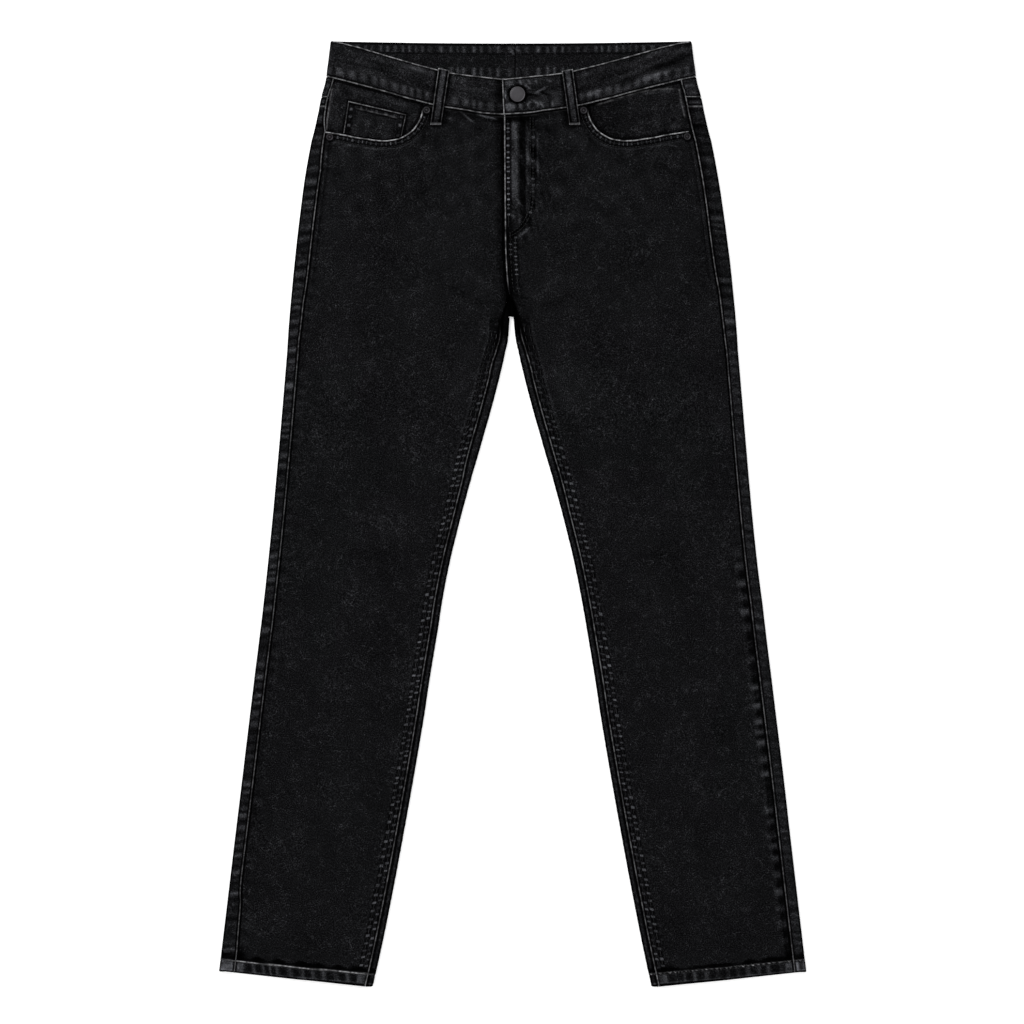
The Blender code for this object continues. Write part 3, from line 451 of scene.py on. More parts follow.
def washed_cloth():
    """Tone and height of washed denim: grain, short curved fibres, specks, faint clouds and twill.

    Tones are powers of two. A fibre is where a bent noise passes its middle value, and a second noise
    breaks it into short lengths.
    """
    tree, given, result = group("washed_cloth", ["Vector"], ["Clouds"], ["Tone", "Height"])
    mm = scaled(tree, given["Vector"], 1 / MM)
    bend = noise(tree, mm, 0.11, 1.0, output="Color")
    inputs = {0: bend, 1: (7, 7, 0), 2: mm}
    bent = node(tree, "ShaderNodeVectorMath", inputs, operation="MULTIPLY_ADD").outputs[0]
    grain = uneven(tree, mm, 0.85, 1.0, 0.5)
    fine = uneven(tree, mm, 1.6, 1.0)
    fibres = None
    for scale, shift, limit in ((0.21, 0.0, 0.48), (0.33, 40.0, 0.53)):
        moved = node(tree, "ShaderNodeVectorMath", {0: bent, 1: (shift, 0, 0)}, operation="ADD").outputs[0]
        thread = smooth(tree, maths(tree, "ABSOLUTE", uneven(tree, moved, scale)), 0.07, 0.0)
        broken = smooth(tree, noise(tree, moved, scale * 0.4, 1.0), limit + 0.03, limit + 0.12)
        one = maths(tree, "MULTIPLY", thread, broken)
        fibres = one if fibres is None else maths(tree, "MAXIMUM", fibres, one)
    cells = node(tree, "ShaderNodeTexVoronoi", {"Vector": mm, "Scale": 0.085, "Randomness": 1.0})
    red = node(tree, "ShaderNodeSeparateColor", {0: cells.outputs["Color"]}).outputs[0]
    dot = smooth(tree, cells.outputs["Distance"], 0.075, 0.03)
    specks = maths(tree, "MULTIPLY", dot, smooth(tree, red, 0.82, 0.95))
    clouds = uneven(tree, mm, 0.035, 3.0, 0.6)
    parts = node(tree, "ShaderNodeSeparateXYZ", {0: mm}).outputs
    slant = maths(tree, "MULTIPLY_ADD", parts[1], 1.7, parts[0])
    twill = maths(tree, "SINE", maths(tree, "MULTIPLY", slant, 4.6))
    tone = summed(
        tree, maths(tree, "MULTIPLY", grain, 7.8), (fine, 4.6), (fibres, 1.4), (specks, 1.0),
        (clouds, given["Clouds"]), (twill, 0.12),
    )
    tree.links.new(tone, result["Tone"])
    tree.links.new(summed(tree, grain, (twill, 0.25), (fibres, 0.4)), result["Height"])
    return tree


def sewn_rows():
    """Pale crests of cloth between the stitches of a row.

    Rows holds the distance from the row, the count of the crests along it, and their strength. Each
    crest's own strength is a random number drawn from its count.
    """
    tree, given, result = group("sewn_rows", ["Rows"], [], ["Tone"])
    distance, beat, strength = node(tree, "ShaderNodeSeparateXYZ", {0: given["Rows"]}).outputs
    near = smooth(tree, distance, 2.2, 1.1)
    turn = maths(tree, "COSINE", maths(tree, "MULTIPLY", beat, 2 * np.pi))
    crest = smooth(tree, turn, 0.15, 0.9)
    number = maths(tree, "ROUND", beat)
    own = node(tree, "ShaderNodeTexWhiteNoise", {"W": number}, noise_dimensions="1D").outputs["Value"]
    tone = maths(tree, "MULTIPLY_ADD", own, 0.4, 0.6)
    tone = maths(tree, "MULTIPLY", maths(tree, "MULTIPLY", near, crest), tone)
    tone = maths(tree, "MULTIPLY", tone, strength)
    tree.links.new(maths(tree, "MULTIPLY", tone, 4.6), result["Tone"])
    return tree


def worn_edges():
    """Mask of the pale worn edges: the wear of the place, broken by two sizes of noise along the edge."""
    tree, given, result = group("worn_edges", ["Vector"], ["Wear"], ["Mask"])
    mm = scaled(tree, given["Vector"], 1 / MM)
    patches = smooth(tree, noise(tree, mm, 0.14, 2.0), 0.36, 0.6)
    broken = smooth(tree, noise(tree, mm, 0.5, 1.0), 0.3, 0.6)
    share = maths(tree, "MULTIPLY_ADD", patches, 0.75, 0.25)
    share = maths(tree, "MULTIPLY", share, maths(tree, "MULTIPLY_ADD", broken, 0.55, 0.45))
    tree.links.new(maths(tree, "MULTIPLY", share, given["Wear"]), result["Mask"])
    return tree


def finish(name, fixed):
    """A new material with its tree and its shader's sockets, those that are the same all over set."""
    made = bpy.data.materials.new(name)
    made.use_nodes = True
    sockets = made.node_tree.nodes["Principled BSDF"].inputs
    for socket, value in fixed.items():
        sockets[socket].default_value = value
    return made, made.node_tree, sockets


def bump(tree, sockets, height, strength, distance):
    """A height that tilts the surface's normal, up to a distance in metres."""
    inputs = {"Height": height, "Strength": strength, "Distance": distance}
    tree.links.new(node(tree, "ShaderNodeBump", inputs).outputs["Normal"], sockets["Normal"])


def read(tree, name, output="Fac"):
    """A piece's own value at each point."""
    return node(tree, "ShaderNodeAttribute", {}, attribute_name=name).outputs[output]


WASHED_CLOTH = washed_cloth()
SEWN_ROWS = sewn_rows()
WORN_EDGES = worn_edges()


def denim(name, colour, clouds=0.7, worn=(0.30, 0.30, 0.31)):
    """Black denim: its colour by the cloth's, the seams' and the piece's own tone, with worn edges; the
    piece's own tone also holds its painted shade and shadows.
    """
    fixed = {"Roughness": 0.9, "Specular IOR Level": 0.003, "Sheen Weight": 0.003, "Sheen Roughness": 0.5}
    made, tree, sockets = finish(name, fixed)
    place = tree.nodes.new("ShaderNodeTexCoord").outputs["Object"]
    weave, rows, wear = (
        node(tree, "ShaderNodeGroup", inputs, node_tree=effect).outputs
        for effect, inputs in (
            (WASHED_CLOTH, {"Vector": place, "Clouds": clouds}),
            (SEWN_ROWS, {"Rows": read(tree, "rows", "Vector")}),
            (WORN_EDGES, {"Vector": place, "Wear": read(tree, "wear")}),
        )
    )
    raised = maths(tree, "ADD", read(tree, "tone"), rows["Tone"])
    calm = maths(tree, "MULTIPLY_ADD", maths(tree, "MAXIMUM", raised, 0.0), -0.17, 1.0)
    tone = maths(tree, "MULTIPLY_ADD", weave["Tone"], calm, raised)
    mixed = node(tree, "ShaderNodeMix", {"Factor": wear["Mask"]}, data_type="RGBA")
    tree.links.new(scaled(tree, colour, maths(tree, "POWER", 2.0, tone)), mixed.inputs[6])
    mixed.inputs[7].default_value = (*worn, 1)
    tree.links.new(mixed.outputs[2], sockets["Base Color"])
    bump(tree, sockets, weave["Height"], 0.5, 0.0003)
    return made


BLACK_DENIM = denim("black_washed_denim", (0.0041, 0.0042, 0.0046))


def outside(x, down, outline):
    """How far a point is outside a convex outline: its largest distance from one of the sides' lines."""
    corners = np.array(outline, float)
    middle = corners.mean(axis=0)
    found = np.full(x.shape, -FAR)
    for (x0, down0), (x1, down1) in zip(corners, np.roll(corners, -1, axis=0)):
        away = np.array([down1 - down0, x0 - x1]) / np.hypot(x1 - x0, down1 - down0)
        away = away * np.sign(away @ (np.array([x0, down0]) - middle))
        found = np.maximum(found, (x - x0) * away[0] + (down - down0) * away[1])
    return found


def hem_looks(x, down, seed):
    """The turned hem: ticks of puckers across it, a worn scalloped top edge, painted shadow just above its
    raised top, and painted shade along its folded lower edge.
    """
    above = hem_height(x, down)
    crest = crests(beats(x + 0.15 * above, 10.2, seed), seed + 1, 1.8, 0.35)
    stitch = beats(x, 5.0, seed + 2)
    line = above + 0.55 * np.cos(2 * np.pi * stitch)
    shade = 0.5 + 0.5 * np.clip(waves(x, 0 * x, 21.0, seed + 4), -1, 1)
    tone = bands(
        above, (3.6 * crest, 3.4, 12.2, 1.4), (-0.8, 1.0, 13.2, 1.0), (-3.2, -2.0, 1.5, 0.7),
        (1.6 + 1.6 * shade, 2.4, 3.3, 0.5), (-1.6 - 2.2 * shade, 15.4, 16.6 + 3.2 * shade, 1.2),
    )
    wear = (0.03 + 0.95 * crests(stitch, seed + 3, 1.4, 0.25)) * between(line, 14.0, 14.4, 0.5)
    relief = bands(above, (0.3 * (crest - 0.4), 2.0, 13.0, 2.0), (-0.25, 11.6, 12.4, 0.6))
    return relief, tone, wear


def centre_back(down):
    """Where the back panels meet behind: a little off the middle, and leaning further from it below."""
    return CENTRE_BACK_X + CENTRE_BACK_LEAN * ease((down - 225) / 40)


def back_points(side, outer_down, inner_down, floor_shares, strip_shares, in_leg):
    """Rows of a back panel: strip by the outseam, outer fold, floor, inner fold, strip by the inseam.

    A fold is half a circle, of half the leg's height there. The floor's points go from one fold to the
    other, or to the centre back above the crotch, where the inner fold is missing.
    """
    sign = SIDES[side]
    rows, inner_rows = outer_down[:, None], inner_down[:, None]
    outer_x = sign * curve(OUTER_EDGE, rows)
    radius = edge_height(outer_x, rows) / 2
    seam = sign * outseam_x(side, rows)
    flat = sign * (outer_x - seam) - radius
    steps = np.array(STRIP_COLUMNS) * np.minimum(flat / STRIP_FULL_FROM, 1)
    strip_x = seam + sign * np.hstack([steps, steps[:, -1:] + (flat - steps[:, -1:]) * strip_shares])
    turn = FOLD_ANGLES[1:]
    fold_x = outer_x - sign * radius * (1 - np.cos(turn))
    fold = stacked(fold_x, rows, radius * (1 + np.sin(turn)))
    seam_x = front_inner_x(side, inner_rows) - sign * SEAM_GAP
    if in_leg:
        inner_x = sign * curve(INNER_EDGE, inner_rows)
        inner_radius = edge_height(inner_x, inner_rows) / 2
        turn = FOLD_ANGLES[::-1][1:]
        in_x = inner_x + sign * inner_radius * (1 - np.cos(turn))
        in_z = inner_radius * (1 + np.sin(turn))
        floor_to = inner_x + sign * inner_radius
    else:
        below_meeting = (inner_down - SEAMS_MEET["left"]) / (CROTCH - SEAMS_MEET["left"])
        in_x = np.full((len(rows), len(turn)), np.nan)
        in_x[:, -1] = sign * (GAP / 2 + CROTCH_SPREAD * np.clip(below_meeting, 0, 1))
        in_z = upper_height(in_x, inner_rows)
        floor_to = centre_back(inner_rows) + sign * BACK_SEAM_GAP / 2
        hidden = inner_down < SEAMS_MEET[side]
        in_x[hidden] = seam_x[hidden] = np.nan
    floor_x = fold_x[:, -1:] * (1 - floor_shares) + floor_to * floor_shares
    floor = stacked(floor_x, rows + (inner_rows - rows) * floor_shares, 0.0)
    last_x = in_x[:, -1:] + (seam_x - in_x[:, -1:]) * INNER_STRIP_SHARES
    strips = [stacked(x, at, upper_height(x, at)) for x, at in ((strip_x, rows), (last_x, inner_rows))]
    return np.concatenate([strips[0], fold, floor, stacked(in_x, inner_rows, in_z), strips[1]], axis=1)


def leg_rows():
    """The legs' rows as down at the outer edge and at the inner edge: they tilt towards the hem."""
    above_hem = HEM_OUTER_DOWN - HEM_DEPTH - HEM_STEP
    outer = np.concatenate([
        np.arange(CROTCH, above_hem - 6, LEG_ROW_STEP), np.linspace(above_hem - 5, above_hem - 0.8, 4),
        np.linspace(above_hem, HEM_OUTER_DOWN - 0.9, 17), HEM_OUTER_DOWN - np.array([0.6, 0.3, 0.0]),
    ])
    share = np.clip((outer - TILT_START) / (above_hem - TILT_START), 0, 1)
    return outer, outer + HEM_SLOPE * share**2


def finer(shares):
    """Each step between the shares cut in equal parts, for the hem's puckers."""
    places = np.arange(HEM_FINER * (len(shares) - 1) + 1) / HEM_FINER
    return np.interp(places, np.arange(len(shares)), shares)


def back_looks(side, points, from_outseam, from_inseam):
    """Strips by the seams: a worn edge, a dark line that is partly painted shade in the seam's gap, puckers,
    and painted shade along the folded edge; puckers by the sewing behind.
    """
    x, down, height = points.T
    seed = 11 if side == "right" else 51
    on_left = side == "left"
    outer_x = curve(OUTER_EDGE, down)
    above_fold = height > FOLD_MIDDLE
    wide = outer_x - outseam_x(side, down)
    on_strip = (np.abs(x) > outer_x - wide - 2) & above_fold & (from_outseam < 30)
    crest = crests(beats(down - 0.1 * from_outseam, 10.5, seed), seed + 1, 0.9, 0.3)
    blocks = crests(beats(down, 16.0, seed + 2), seed + 3, 1.0)
    below_hip, at_hip = ease((down - 290) / 60) * on_left, ease((320 - down) / 60)
    lift = 3.6 - (1.0 if on_left else 0.7) * at_hip
    tone = (lift * crest - 0.5) * between(from_outseam, 3.0, wide - 2.0, 1.0) + 0.7 * below_hip
    tone = tone + 1.3 * (blocks - 0.45) * (from_outseam > 2.8)
    tone = tone - on_left * at_hip * between(from_outseam, 1.2, 5.0, 2.5)
    # The dark line beside the outseam is partly painted shade in the seam's gap.
    tone = tone * (1 - 0.5 * below_hip) + bands(from_outseam, (-3.0, 1.2, 2.6, 0.5))
    below_yoke = down - YOKE_SIDE_DOWN
    # Painted shade along the outer folded edge.
    tone = tone + bands(outer_x - np.abs(x), (-2.6, -2, 1.3, 0.6))
    tone = tone + bands(below_yoke, (-2.8, 0.6, 2.2, 0.5), (-2.6, 7.6, 9.0, 0.5), (1.4, 3.4, 6.4, 1.0))
    tone = tone - 3.0 * between(down, 91.5, 94, 1.0) * (from_outseam > 1.5)
    relief = bands(from_outseam, (0.35 * (crest - 0.3), 3.0, wide, 1.5), (-0.3, 1.3, 2.4, 0.6))
    wear = between(from_outseam, -1, 0.55, 0.45) * (0.36 + 0.22 * ease((320 - down) / 160))
    wear = np.maximum(wear, 0.4 * between(below_yoke, 9.8, 10.6, 0.4))

    # The strip by the inseam, with painted shade along its folded edge, deepest at the crotch.
    on_inner = (np.abs(x) < np.abs(front_inner_x(side, down)) + 2) & above_fold & (from_inseam < 25)
    inner_crest = crests(beats(down + 0.3 * from_inseam, 8.5, seed + 4), seed + 5, 1.5)
    inner_tone = bands(
        from_inseam, (-3.0, -1, 2.0, 0.6), (0.3, 2.8, 5.0, 0.8), (1.1 * inner_crest, 2.8, 5.2, 0.8)
    )
    inner_tone = inner_tone + bands(np.abs(x) - curve(INNER_EDGE, down), (-2.4, -2, 1.5, 0.6))
    inner_tone = inner_tone - 3.0 * ease((334 - down) / 14)
    relief = relief * on_strip + 0.2 * inner_crest * on_inner
    tone = tone * on_strip + inner_tone * on_inner

    # Behind: puckers and shade by the centre seam and the yoke's, and room for the back pocket.
    behind = height < ON_FLOOR
    pocket = outside(np.abs(x), down, BACK_POCKET)
    recess = (DENIM + GAP) * (1 - ease((pocket - 0.6) / 4.0)) * behind
    centre = crests(beats(down, 9.0, seed + 6), seed + 7) * between(np.abs(x), 2, 10, 1.5) * (down < CROTCH)
    from_yoke = below_yoke - YOKE_FALL * (1 - np.abs(x) / outer_x)
    by_yoke = crests(beats(x, 9.0, seed + 8), seed + 9) * between(from_yoke, 1.5, 9, 1.5)
    tone = tone + behind * (0.9 * (centre + by_yoke) - 0.8 * between(np.abs(x), 0, 10, 1) * (down < CROTCH))

    hem = hem_height(x, down)
    hem_relief, hem_tone, hem_wear = hem_looks(x, down, seed + 20)
    # Painted shadow on the strip just above the hem's raised top.
    tone = tone + hem_tone + bands(hem, (-2.4 * on_strip, 15.8, 20, 1.6))
    tone = tone + 1.9 * between(hem, 3, 12, 1.5) * between(wide - from_outseam, 2, wide - 3, 1.5)
    rough = 0.18 * waves(x, down, 70.0, seed + 30) * (down > 200)
    relief = relief - recess - np.where(behind, np.abs(rough), 0) + hem_relief * ~behind
    return plain(x, relief=relief, tone=tone, wear=np.maximum(wear * on_strip, hem_wear))


def back_panel(side):
    """Three grids: the hip to the centre back, the leg in fewer columns, and the finer hem."""
    hip_shares = np.linspace(0, 1, 46)[1:]
    strip_shares = np.linspace(0, 1, 6)[1:]
    upper = FIXED_COLUMNS + len(strip_shares)
    down = np.concatenate([
        YOKE_SIDE_DOWN + np.arange(0, 50, 1.25), np.arange(LEVEL_FROM, CROTCH - 0.9, ROW_STEP)
    ])
    hip = back_points(side, down, down, hip_shares, strip_shares, False)
    reach = np.concatenate([np.zeros(upper), hip_shares])
    blend = np.clip((LEVEL_FROM - down) / (LEVEL_FROM - YOKE_SIDE_DOWN), 0, 1)[:, None]
    hip[:, : len(reach), 1] += YOKE_FALL * blend * reach
    kept = np.array([2, 5, 9, 13, 18, 22, 27, 31, 36, 40, 43, 44])
    keep = np.concatenate([np.arange(upper), upper + kept, np.arange(len(reach), hip.shape[1])])
    shares = hip_shares[kept]
    outer_down, inner_down = leg_rows()
    above, below = slice(0, -HEM_ROWS), slice(-HEM_ROWS, None)
    leg = back_points(side, outer_down[above], inner_down[above], shares, strip_shares, True)
    hem_shares = finer(np.append(0, shares))[1:]
    hem = back_points(side, outer_down[below], inner_down[below], hem_shares, strip_shares, True)
    at_leg = np.arange(leg.shape[1])
    at_hem = np.arange(leg.shape[1])
    at_hem[upper : upper + len(shares)] = upper - 1 + HEM_FINER * np.arange(1, len(shares) + 1)
    at_hem[upper + len(shares) :] += len(shares) * (HEM_FINER - 1)
    grids = [hip, leg, hem]
    there = [np.isfinite(grid[..., 0]) for grid in grids]
    runs = [run_along(grid, 1, 100.0) for grid in grids]
    points = np.concatenate([grid[here] for grid, here in zip(grids, there)])
    from_outseam = np.concatenate([run[here] for run, here in zip(runs, there)])
    from_inseam = np.concatenate([(run[:, -1:] - run)[here] for run, here in zip(runs, there)])
    looks = back_looks(side, points, from_outseam, from_inseam)
    turned_in = hem_share(points[:, 0], points[:, 1]) * (points[:, 2] < ON_FLOOR)
    wall = DENIM + (HEM_CLOTH - DENIM) * turned_in
    cloth(
        "back_" + side, BLACK_DENIM, grids, looks, wall,
        [(keep, at_leg), (at_leg, at_hem)], flip=side == "right",
    )


for side in SIDES:
    back_panel(side)

# Back pockets -------------------------------------------------------------------------------------
# Five-sided patches of the same denim under the seat. Their edges are turned in and sewn down in two
# rows. They don't show in the photo, so they are plain.

POCKET_WIDTH = 132.0
POCKET_DEPTH = 136.0
POCKET_ROWS = (2.6, 8.8)


def back_pocket(side):
    """Rows run from the mouth to the point: x from one side to the other, the foot a shallow V."""
    near_side = np.array([0, 0.4, 1.2, 2.4, 4.5, 8, 14])
    far_side = POCKET_WIDTH - near_side[::-1]
    across = np.concatenate([near_side, np.linspace(20, 112, 12), far_side]) / POCKET_WIDTH
    near_mouth = np.array([*near_side, 18]) / POCKET_DEPTH
    fall = np.concatenate([near_mouth, np.linspace(0.17, 0.96, 18), [0.98, 0.992, 1.0]])
    (left, top), (right, _), (low_right, corner), (_, point), (low_left, _) = BACK_POCKET
    foot = corner + (point - corner) * (1 - np.abs(2 * across - 1))
    down = top + (foot - top) * fall[:, None]
    share = (down - top) / (corner - top)
    x = (left + (low_left - left) * share) * (1 - across) + (right + (low_right - right) * share) * across
    points = stacked(SIDES[side] * x, down, 0.0)
    x, down = SIDES[side] * x.ravel(), down.ravel()
    edge = -outside(np.abs(x), down, BACK_POCKET)
    beat = beats(x + down, 7.0, 71)
    row = np.minimum(np.abs(edge - POCKET_ROWS[0]), np.abs(edge - POCKET_ROWS[1]))
    looks = plain(
        x, relief=bands(row, (-0.2, -1, 0.3, 0.6)), wear=bands(edge, (0.45, -1, 0.6, 0.5)),
        tone=bands(edge, (-0.7, 1.2, 9, 1.0), (0.6 * crests(beat, 72), 2, 9, 1)),
        row=row, beat=beat, gain=np.where(edge < 14, 0.8, 0.0),
    )
    cloth(
        "back_pocket_" + side, BLACK_DENIM, [points], looks, DENIM,
        flip=side == "left",
    )


for side in SIDES:
    back_pocket(side)

# Yokes --------------------------------------------------------------------------------------------
# Wedges of the same denim between the waistband and the back panels, joined by a felled seam with two
# rows of stitches. Their side ends are folded to the front and show there over the outseam.

BAND_DEPTH = 39.5
BAND_BACK_DIP = 2.4
FRONT_MIDDLE = -7.0
BAND_SEAM = [
    (0, 81.2), (0.08, 80.3), (0.2, 77.0), (0.33, 73.3), (0.48, 66.6), (0.63, 58.3), (0.78, 50.2),
    (0.9, 44.0), (1, 39.5),
]


def band_side_x(down):
    """How far from the middle the waistband's side fold is: as far as the outer edge."""
    return curve(OUTER_EDGE, down)


def band_down(table, x, side_x):
    """Down at x along a front edge of the waistband, whose side fold is at side_x on either side."""
    x = np.asarray(x, float)
    reach = np.where(x < FRONT_MIDDLE, side_x + FRONT_MIDDLE, side_x - FRONT_MIDDLE)
    return curve(table, np.abs(x - FRONT_MIDDLE) / reach)


def waist_seam(x):
    """Down at x along the front's seam with the waistband."""
    return band_down(BAND_SEAM, x, band_side_x(BAND_DEPTH))


def back_band_top(x):
    """Down at x along the back's top edge, which dips a little towards the middle."""
    return BAND_BACK_DIP * (1 - (np.abs(x) / band_side_x(0)) ** 2)


def yoke(side):
    """Rows fall from the waistband's seam to the yoke's, whose foot falls towards the centre back."""
    sign = SIDES[side]
    strip_shares = np.linspace(0, 1, 5)[1:]
    floor_shares = np.linspace(0, 1, 40)[1:]
    fall = np.array([0, 0.01, 0.03, 0.06, *np.linspace(0.1, 0.9, 20), 0.94, 0.97, 0.99, 1.0])
    reach = np.concatenate([np.zeros(FIXED_COLUMNS + len(strip_shares)), floor_shares])
    foot = YOKE_SIDE_DOWN - GAP + YOKE_FALL * reach
    head_side = BAND_DEPTH + GAP
    side_down = head_side + (foot[0] - head_side) * fall
    points = back_points(side, side_down, side_down, floor_shares, strip_shares, False)[:, : len(reach)]
    head = back_band_top(points[:, :, 0]) + BAND_DEPTH + GAP
    strip = len(STRIP_COLUMNS) + len(strip_shares)
    seam_head = waist_seam(sign * outseam_x(side, BAND_DEPTH)) + GAP
    steps = np.linspace(1, 0, strip)
    head[:, :strip] = head_side + (seam_head - head_side) * steps
    points[:, :, 1] = head + (foot - head) * fall[:, None]
    points[:, :strip, 0] += steps * sign * (outseam_x(side, points[:, :1, 1]) - np.abs(points[:, :1, 0]))
    points[:, :strip, 2] = upper_height(points[:, :strip, 0], points[:, :strip, 1])
    x, down, height = points.reshape(-1, 3).T
    above = height > FOLD_MIDDLE
    from_seam = np.abs(x) - outseam_x(side, down)
    from_foot = (foot[None, :] - points[:, :, 1]).ravel()
    from_head = (points[:, :, 1] - head).ravel()
    crest = crests(beats(down, 9.0, 81), 82, 2.0)
    # Painted shade on the side end where it folds round, painted shadow under the waistband's edge, and dark
    # lines by the seams that are partly painted shade in their gaps.
    tone = bands(from_seam, (3.2 * crest + 0.5, 3, 12, 1.5), (-2.8, 1.2, 2.4, 0.5))
    tone = above * (tone - 2.4 * between(np.abs(x), band_side_x(down) - 1.2, 400, 0.6))
    tone = tone + bands(from_head, (-3.0, -1, 1.6, 1.0)) + bands(from_foot, (-2.6, 1.2, 2.4, 0.5))
    wear = np.maximum(above * bands(from_seam, (0.5, -1, 0.7, 0.5)), bands(from_foot, (0.45, -1, 0.7, 0.5)))
    behind = between(from_foot, 2, 9, 1.5) + between(from_head, 2, 8, 2)
    behind = ~above * crests(beats(x, 8.5, 83), 84) * behind
    looks = plain(x, relief=0.2 * crest * above, tone=tone + 0.8 * behind, wear=wear)
    cloth(
        "yoke_" + side, BLACK_DENIM, [points], looks, DENIM,
        flip=side == "right",
    )


for side in SIDES:
    yoke(side)

# Pocket facings and coin pocket -------------------------------------------------------------------
# Denim sewn to the pocket bags, which shows inside each scooped mouth. The wearer's right one carries the
# coin pocket, a small patch with a hemmed top and two rows of stitches down each side.

POCKET_FACING_START = 88.0
POCKET_FACING_END = 113.5
FACING_HEIGHT = 3.1
FACING_LIFT = 1.4
LINE_STEP = 0.6
COIN_CLOTH = 1.0
COIN_WIDTH = 65.0
COIN_TOP = [(-178.8, 66.0), (-115.5, 80.9)]
COIN_FOOT_X = (-184.3, -120.7)
SCOOP = [
    (90.0, 70.0), (91.5, 78.0), (95.2, 88.0), (104.0, 99.4), (116.5, 106.8), (130.0, 109.0),
    (150.0, 107.2), (173.0, 103.2), (200.0, 99.0),
]
# Thin worn ridges of the facings: a line of points and the wear.
FACING_RIDGES = {
    "right": [
        ([(-195.2, 46.5), (-198.6, 64), (-201.6, 84), (-202.9, 100)], 0.26), ([(-192, 50), (-188, 57)], 0.12),
    ],
    "left": [
        ([(92, 70.6), (143, 55.6), (171, 52.4), (182.5, 53.6)], 0.15), ([(183.4, 50.5), (190.6, 86)], 0.34),
        ([(189, 90), (183, 94)], 0.1),
    ],
}
FACING_CREASES = {
    "right": [
        (-186, 50, -146, 61, 2.0, 0.35), (-192, 49, -201, 92, 1.3, 0.5), (-150, 60, -100, 74, 2.2, 0.3),
        (-194, 52, -176, 66, 1.8, 0.3), (-196, 84, -170, 96, 3.0, 0.2),
    ],
    "left": [
        (100, 66, 141, 57.6, 1.8, 0.35), (136, 58.4, 184, 51.6, 1.4, 0.5), (183, 52, 191, 84, 1.3, 0.5),
        (186, 92, 170, 96, 2.2, 0.35), (184, 88, 172, 86, 1.6, -0.3),
    ],
}
FACING_DENIM = denim("facing_washed_denim", (0.00465, 0.00475, 0.0052))


def creases(x, down, table):
    """Soft ridges and troughs, each from one point to another: a bell across it that fades at its ends.

    A row of the table is (x, down, x, down, half width, height), with a height below 0 for a trough.
    """
    total = np.zeros_like(x)
    for x0, down0, x1, down1, width, height in table:
        length = np.hypot(x1 - x0, down1 - down0)
        along = ((x - x0) * (x1 - x0) + (down - down0) * (down1 - down0)) / length**2
        off = ((x - x0) * (down1 - down0) - (down - down0) * (x1 - x0)) / length
        off = off + 0.12 * length * (along - along**2)
        total = total + height * np.exp(-((off / width) ** 2)) * ease(along / 0.4) * ease((1 - along) / 0.4)
    return total


def nearest(x, down, line):
    """Distance from each point to a line of points, and how far along the line its nearest point is."""
    line = np.asarray(line, float)
    run = run_along(line)
    fine = np.linspace(0, run[-1], int(run[-1] / LINE_STEP) + 2)
    line_x, line_down = (np.interp(fine, run, line[:, k]) for k in (0, 1))
    distance, along = np.empty(len(x)), np.empty(len(x))
    for part in np.array_split(np.arange(len(x)), len(x) // 4000 + 1):
        apart = np.hypot(x[part, None] - line_x, down[part, None] - line_down)
        found = apart.argmin(axis=1)
        distance[part] = apart[np.arange(len(part)), found]
        along[part] = fine[found]
    return distance, along


def scoop_line(side):
    """The edge of the pocket's mouth as points, from its inner end to its outer one."""
    across = np.linspace(SCOOP[0][0], SCOOP[-1][0], 90)
    return stacked(FRONT_MIDDLE + SIDES[side] * across, curve(SCOOP, across))


def facing_height(x, down):
    """Height of a facing's outer face: level with the waist seam, then down under the scoop."""
    sinks = ease((down - waist_seam(x)) / 30)
    inside = ease((np.abs(x - FRONT_MIDDLE) - 103) / 12)
    return FACING_HEIGHT + FACING_LIFT * (1 - sinks) * inside


def near_ends(length, steps, middle):
    """Places from 0 to 1 along a length: at fixed steps from both ends, evenly between them."""
    steps = np.array(steps) / length
    inner = np.linspace(steps[-1], 1 - steps[-1], middle + 2)[1:-1]
    return np.concatenate([steps, inner, 1 - steps[::-1]])


